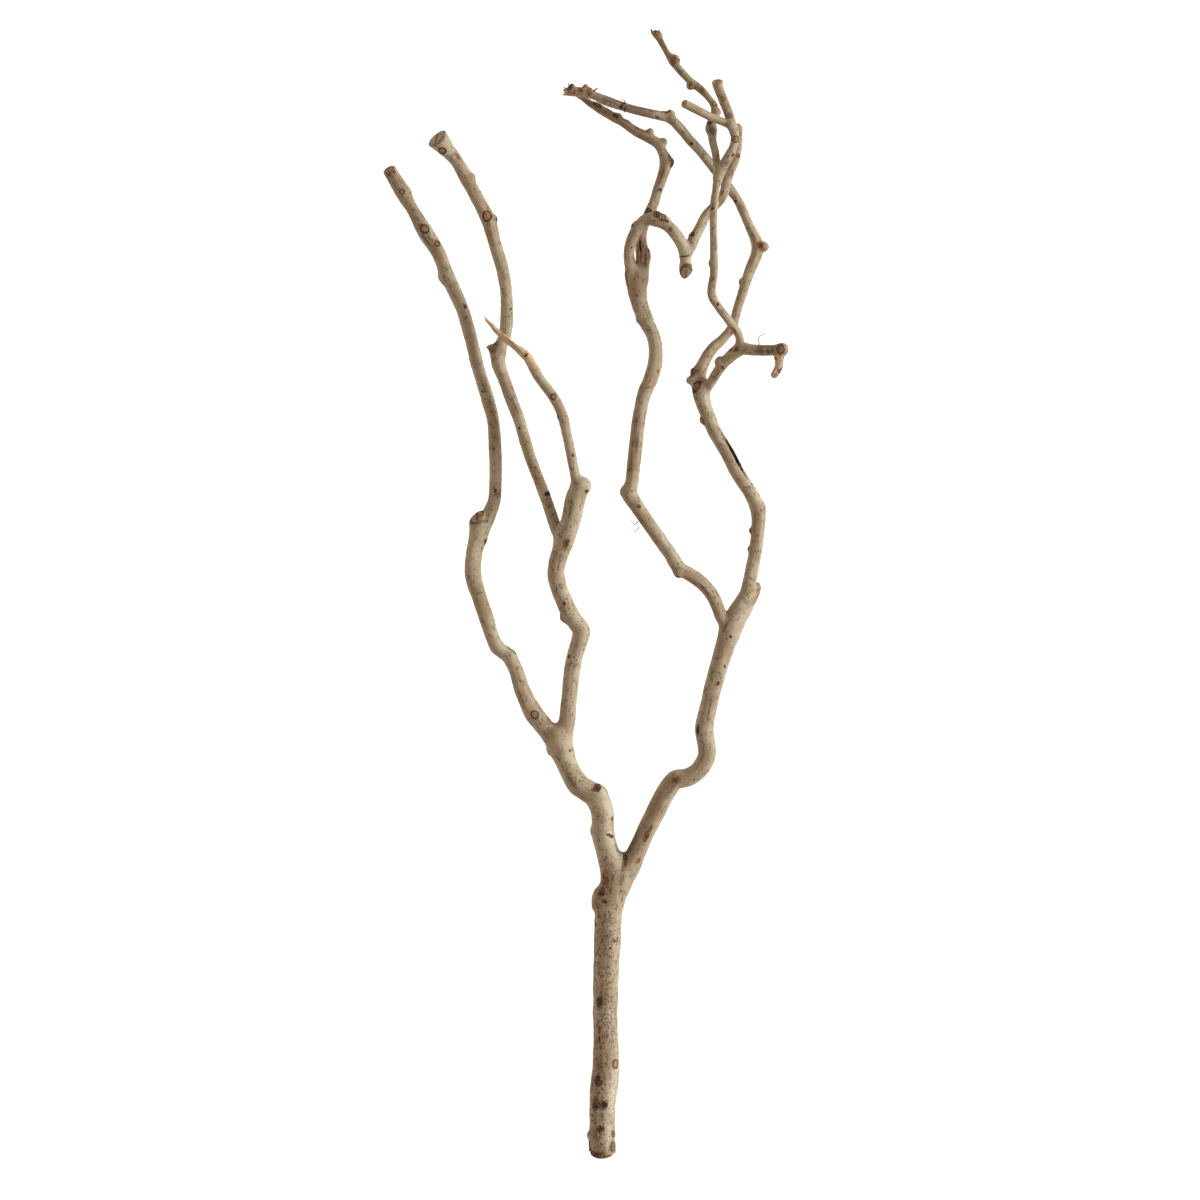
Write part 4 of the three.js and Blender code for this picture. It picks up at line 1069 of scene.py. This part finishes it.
# Sawn ends: growth rings round a dark pith, and a dark edge.
w, given, made = node_group("sawn end", [("Cut", "Vector"), ("Place", "Vector")],
                            [("Color", "Color"), ("Mask", "Float"), ("Height", "Float")])
u, v, face = w.parts(given["Cut"])
wobble = w.times(w.math("SUBTRACT", w.noise(given["Place"], 420, 3.0, 0.6), 0.5), 0.5)
r = w.plus(w.from_middle(u, v), wobble)
rings = w.math("MULTIPLY_ADD", w.math("SINE", w.times(r, 26)), 0.3, 0.5)
speck = w.noise(given["Place"], 620, 3.0, 0.7)
off_crack = w.plus(w.times(u, 0.8), w.math("MULTIPLY_ADD", v, 0.45, wobble))
crack = w.range(w.math("ABSOLUTE", off_crack), 0.05, 0.16, 1.0, 0.0)
colour = w.mix(rings, (0.49, 0.340, 0.160, 1), (0.26, 0.160, 0.072, 1))
colour = w.mix(w.times(w.range(speck, 0.46, 0.58), 0.8), colour, (0.10, 0.056, 0.029, 1))
colour = w.mix(w.times(crack, w.range(r, 0.6, 0.95, 0.8, 0.0)), colour,
               (0.045, 0.028, 0.018, 1))
colour = w.mix(w.range(r, 0.1, 0.24, 0.8, 0.0), colour, (0.055, 0.034, 0.022, 1))
colour = w.mix(w.range(r, 0.80, 0.98, 0.0, 0.85), colour, (0.065, 0.038, 0.023, 1))
w.put(made["Color"], colour)
w.put(made["Mask"], face)
w.put(made["Height"], w.plus(w.times(rings, 0.5), speck))


def wood_finish(name, pores, depth):
    """A finish for wood, with more or fewer pores and a deeper or shallower relief."""
    material = bpy.data.materials.new(name)
    material.use_nodes = True
    tree = material.node_tree
    w = Wiring(tree)
    shader = tree.nodes["Principled BSDF"]
    shader.inputs["Specular IOR Level"].default_value = 0.32
    place = tree.nodes.new("ShaderNodeTexCoord").outputs["Object"]

    def add(group_name, **values):
        node = tree.nodes.new("ShaderNodeGroup")
        node.node_tree = bpy.data.node_groups[group_name]
        for label, value in values.items():
            w.put(node.inputs[label], value)
        return node.outputs

    grain_place = w.attribute("grain")
    bare = add("weathered wood", Place=place, Grain=grain_place, Age=w.attribute("age"),
               Pores=pores)
    marked = add("stains", Color=bare["Color"], Stain=w.attribute("stain_and_painted_light"),
                 Torn=w.attribute("torn"), Weathering=w.attribute("weathering_and_shade"), Place=place,
                 Grain=grain_place)
    knots = add("knots", Knot=w.attribute("knot"), Place=place)
    sawn = add("sawn end", Cut=w.attribute("cut"), Place=place)
    colour = w.mix(knots["Mask"], marked["Color"], knots["Color"])
    w.put(shader.inputs["Base Color"], w.mix(sawn["Mask"], colour, sawn["Color"]))
    w.put(shader.inputs["Roughness"], bare["Rough"])
    height = w.plus(bare["Height"], w.times(marked["Height"], 1.5))
    height = w.plus(height, w.times(knots["Height"], knots["Mask"]))
    height = w.plus(height, w.times(sawn["Height"], sawn["Mask"]))
    w.relief(shader, height, 0.7, depth)
    return material


finishes = {"limb_wood": wood_finish("bare limb wood", 0.13, 0.00026),
            "twig_wood": wood_finish("bare twig wood", 0.13, 0.00022)}
slots = {part["node"]: part["material_slot"] for part in frame["record"]["subparts"]}
for name in piece_names:
    piece = wood_part(name)
    piece.data.materials.append(finishes[slots[name]])
    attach(piece, "root")
    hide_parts(name)

# ---- Loose fibres, splinters and flakes ---------------------------------------------------------
# What the weather and the fall left on the branch: torn splinters at the broken ends, a tendril
# wound round the back branch, thin fibres, and flakes of old bark that still hold by one edge.

def plain_finish(name, light, dark, size, roughness):
    """A finish for a small loose piece, mottled between two colours along its fibres."""
    material = bpy.data.materials.new(name)
    material.use_nodes = True
    w = Wiring(material.node_tree)
    shader = material.node_tree.nodes["Principled BSDF"]
    place = material.node_tree.nodes.new("ShaderNodeTexCoord").outputs["Object"]
    mottle = w.noise(place, 1 / size, 4.0, 0.65)
    w.put(shader.inputs["Base Color"], w.mix(w.range(mottle, 0.36, 0.64), light, dark))
    w.put(shader.inputs["Roughness"], w.range(mottle, 0.3, 0.7, roughness - 0.1, roughness + 0.1))
    w.relief(shader, mottle, 0.6, 0.0002)
    return material


def loose_piece(name, places, faces, finish):
    """A closed loose piece that goes with the branch."""
    mesh = bpy.data.meshes.new(name)
    mesh.from_pydata([tuple(place) for place in places], [], faces)
    mesh.polygons.foreach_set("use_smooth", np.ones(len(mesh.polygons), bool))
    mesh.materials.append(finish)
    piece = bpy.data.objects.new(name, mesh)
    scene.collection.objects.link(piece)
    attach(piece, "root")


STRAND_STEP = 0.0007


def strands(name, paths, finish, flatness=1.0, round_sides=7):
    """One piece of thin tapering strands, each given as places (x, y, z, width in mm from the
    foot). flatness is their thickness as a share of their width."""
    places, faces = [], []
    for path in paths:
        curve = growth_curve(path, STRAND_STEP)
        ways = line_frames(curve)
        first = len(places)
        for point, aside, upwards in zip(curve, ways[1], ways[2]):
            for side in range(round_sides):
                turn = 2 * math.pi * side / round_sides
                places.append(point[:3] + point[3] * (math.cos(turn) * aside
                                                      + flatness * math.sin(turn) * upwards))
        for ring in range(first, first + (len(curve) - 1) * round_sides, round_sides):
            for side in range(round_sides):
                a, b = ring + side, ring + (side + 1) % round_sides
                faces.append((b, a, a + round_sides, b + round_sides))
        last = first + (len(curve) - 1) * round_sides
        faces.append(tuple(range(first, first + round_sides)))
        faces.append(tuple(reversed(range(last, last + round_sides))))
    loose_piece(name, places, faces, finish)


def flakes(name, spots, finish):
    """One piece of thin curled flakes, each given as (line, mm along, degrees round, length, width
    in mm, lift in mm, seed), lying on the line and lifted at one long edge."""
    places, faces = [], []
    for line, along, turn, length, width, lift, seed in spots:
        random = np.random.default_rng(seed)
        rows, columns, first = 9, 5, len(places)
        edge = random.uniform(0.55, 1.0, rows) * np.sin(np.linspace(0.35, math.pi - 0.35, rows))
        for layer in (0.00045, -0.0003):
            for row in range(rows):
                at = along + length * (row / (rows - 1) - 0.5)
                for column in range(columns):
                    share = column / (columns - 1) - 0.35
                    angle = turn + math.degrees(share * width * edge[row] / 4.2)
                    raised = layer + lift / 1000 * max(share, 0) ** 1.5 + random.uniform(0, 0.00012)
                    place = place_on(line, at / 1000, angle, -raised)[0]
                    place[2] = max(place[2], 0.0002)
                    places.append(place)
        size = rows * columns
        for row in range(rows - 1):
            for column in range(columns - 1):
                a = first + row * columns + column
                faces.append((a, a + 1, a + columns + 1, a + columns))
                faces.append((a + size + columns, a + size + columns + 1, a + size + 1, a + size))
        rim = ([first + c for c in range(columns)]
               + [first + r * columns + columns - 1 for r in range(1, rows)]
               + [first + (rows - 1) * columns + c for c in range(columns - 2, -1, -1)]
               + [first + r * columns for r in range(rows - 2, 0, -1)])
        for a, b in zip(rim, rim[1:] + rim[:1]):
            faces.append((b, a, a + size, b + size))
    loose_piece(name, places, faces, finish)


straw = plain_finish("straw fibre", (0.50, 0.37, 0.22, 1), (0.24, 0.155, 0.085, 1), 0.0012, 0.7)
tendril = plain_finish("dark tendril", (0.075, 0.062, 0.048, 1), (0.035, 0.028, 0.022, 1), 0.001,
                       0.75)
splinter = plain_finish("fresh splinter", (0.62, 0.47, 0.29, 1), (0.38, 0.25, 0.14, 1), 0.0011, 0.8)
torn_wood = plain_finish("torn wood", (0.50, 0.33, 0.23, 1), (0.17, 0.10, 0.065, 1), 0.0011, 0.8)
old_bark = plain_finish("old bark", (0.21, 0.125, 0.062, 1), (0.075, 0.042, 0.025, 1), 0.0014, 0.85)

strands("front_fibre", [
    [(124, 648, 82.6, 1.0), (124, 652.4, 83.4, 0.9), (123.8, 655, 83.8, 0.9),
     (124.8, 656.4, 84, 0.8),
     (127, 657.4, 84, 0.7), (130.6, 658.2, 84, 0.4)],
], straw)
strands("centre_fibre", [
    [(28, 509, 66, 0.9), (25.4, 506.6, 67.4, 0.8), (23.6, 508, 68.6, 0.7), (22.4, 511, 69, 0.4)],
    [(29, 505, 66, 0.8), (26.6, 501.6, 66.8, 0.7), (24, 500.6, 67.4, 0.4)],
], straw)
back_line = next(line for line in lines if line["piece"] == "back_branch")
winding = []
for turn in range(0, 400, 24):
    place, out, _ = place_on(back_line, (311 - turn / 400 * 3.6) / 1000, turn - 40, -0.0003)
    winding.append((*((place - FOOT[:3]) * 1000), 0.9))
winding.append((winding[-1][0] + 1.6, winding[-1][1] + 2.4, winding[-1][2] + 1, 0.6))
strands("back_tendril", [winding, [(18, 843, 47.4, 0.9), (17, 845.8, 48.6, 0.8),
                                   (14.6, 846.8, 49, 0.4)]],
        tendril)
strands("back_thorns", [
    [(-8.4, 852.4, 47.6, 2.0), (-6, 854.6, 48.4, 1.3), (-3.6, 856.2, 48.8, 0.4)],
    [(-27, 857, 45.4, 1.2), (-27.6, 859, 45.6, 0.8), (-28.2, 860.6, 45.8, 0.3)],
    [(-29, 854.6, 44.6, 1.2), (-30.6, 856.2, 45, 0.8), (-31.4, 857.6, 45, 0.3)],
], tendril, 0.6)
strands("back_splinters", [
    [(-27.6, 854.6, 44.6, 3.4), (-30.6, 854.4, 44.4, 2.4), (-32.2, 853.8, 44.2, 0.8)],
    [(-27.6, 851.6, 44.4, 3.2), (-30.4, 850.8, 44.2, 2.2), (-32.6, 850.4, 44, 0.7)],
    [(-27, 852.8, 46, 2.8), (-30, 852.4, 46, 2.0), (-31.6, 852.2, 45.8, 0.7)],
], splinter, 0.7)
strands("tip_splinters", [
    [(40, 896.6, 81.4, 3.0), (38.8, 899.2, 81.6, 2.0), (37.9, 901, 81.4, 0.5)],
    [(42.4, 897.6, 80.6, 3.2), (41.8, 899.2, 80.6, 2.2), (41.6, 900.2, 80.6, 0.9)],
    [(44.2, 896.8, 81.4, 2.4), (44.6, 899, 81.6, 1.5), (44.8, 900.4, 81.6, 0.5)],
], old_bark, 0.7)
strands("twig_splinters", [
    [(-64, 644, 94, 2.6), (-71, 650.4, 93.4, 2.0), (-78, 656.4, 91.8, 1.4),
     (-83, 661.6, 90.4, 0.4)],
    [(-66, 642, 91.4, 2.4), (-72, 647, 90.8, 1.8), (-78.6, 652, 89.6, 0.5)],
    [(-86, 661, 88.8, 2.6), (-92, 668.6, 87.6, 1.8), (-95, 672.2, 87, 0.5)],
], splinter, 0.55)
strands("fork_splinters", [
    [(28.4, 718, 60, 2.6), (27.8, 725, 58.6, 2.4), (28.6, 732, 56.6, 1.8),
     (31.4, 738.4, 55.4, 0.6)],
    [(31.4, 711.6, 61.8, 1.6), (31.4, 717, 62.2, 2.6), (31.8, 723, 61, 2.8), (32.6, 729, 58.8, 2.0),
     (33.2, 733.6, 57, 0.5)],
    [(34.4, 713, 62, 1.4), (35, 718.6, 61.6, 2.4), (34.8, 724.6, 60, 1.8), (34, 729.6, 58, 0.5)],
], torn_wood, 0.6)
trunk_line = lines[0]
flakes("foot_bark", [
    (trunk_line, 9, 52, 9, 4, 0.35, 11), (trunk_line, 20, 58, 6, 3.4, 0.4, 12),
    (trunk_line, 10, -112, 9, 5, 1.0, 14),
], old_bark)
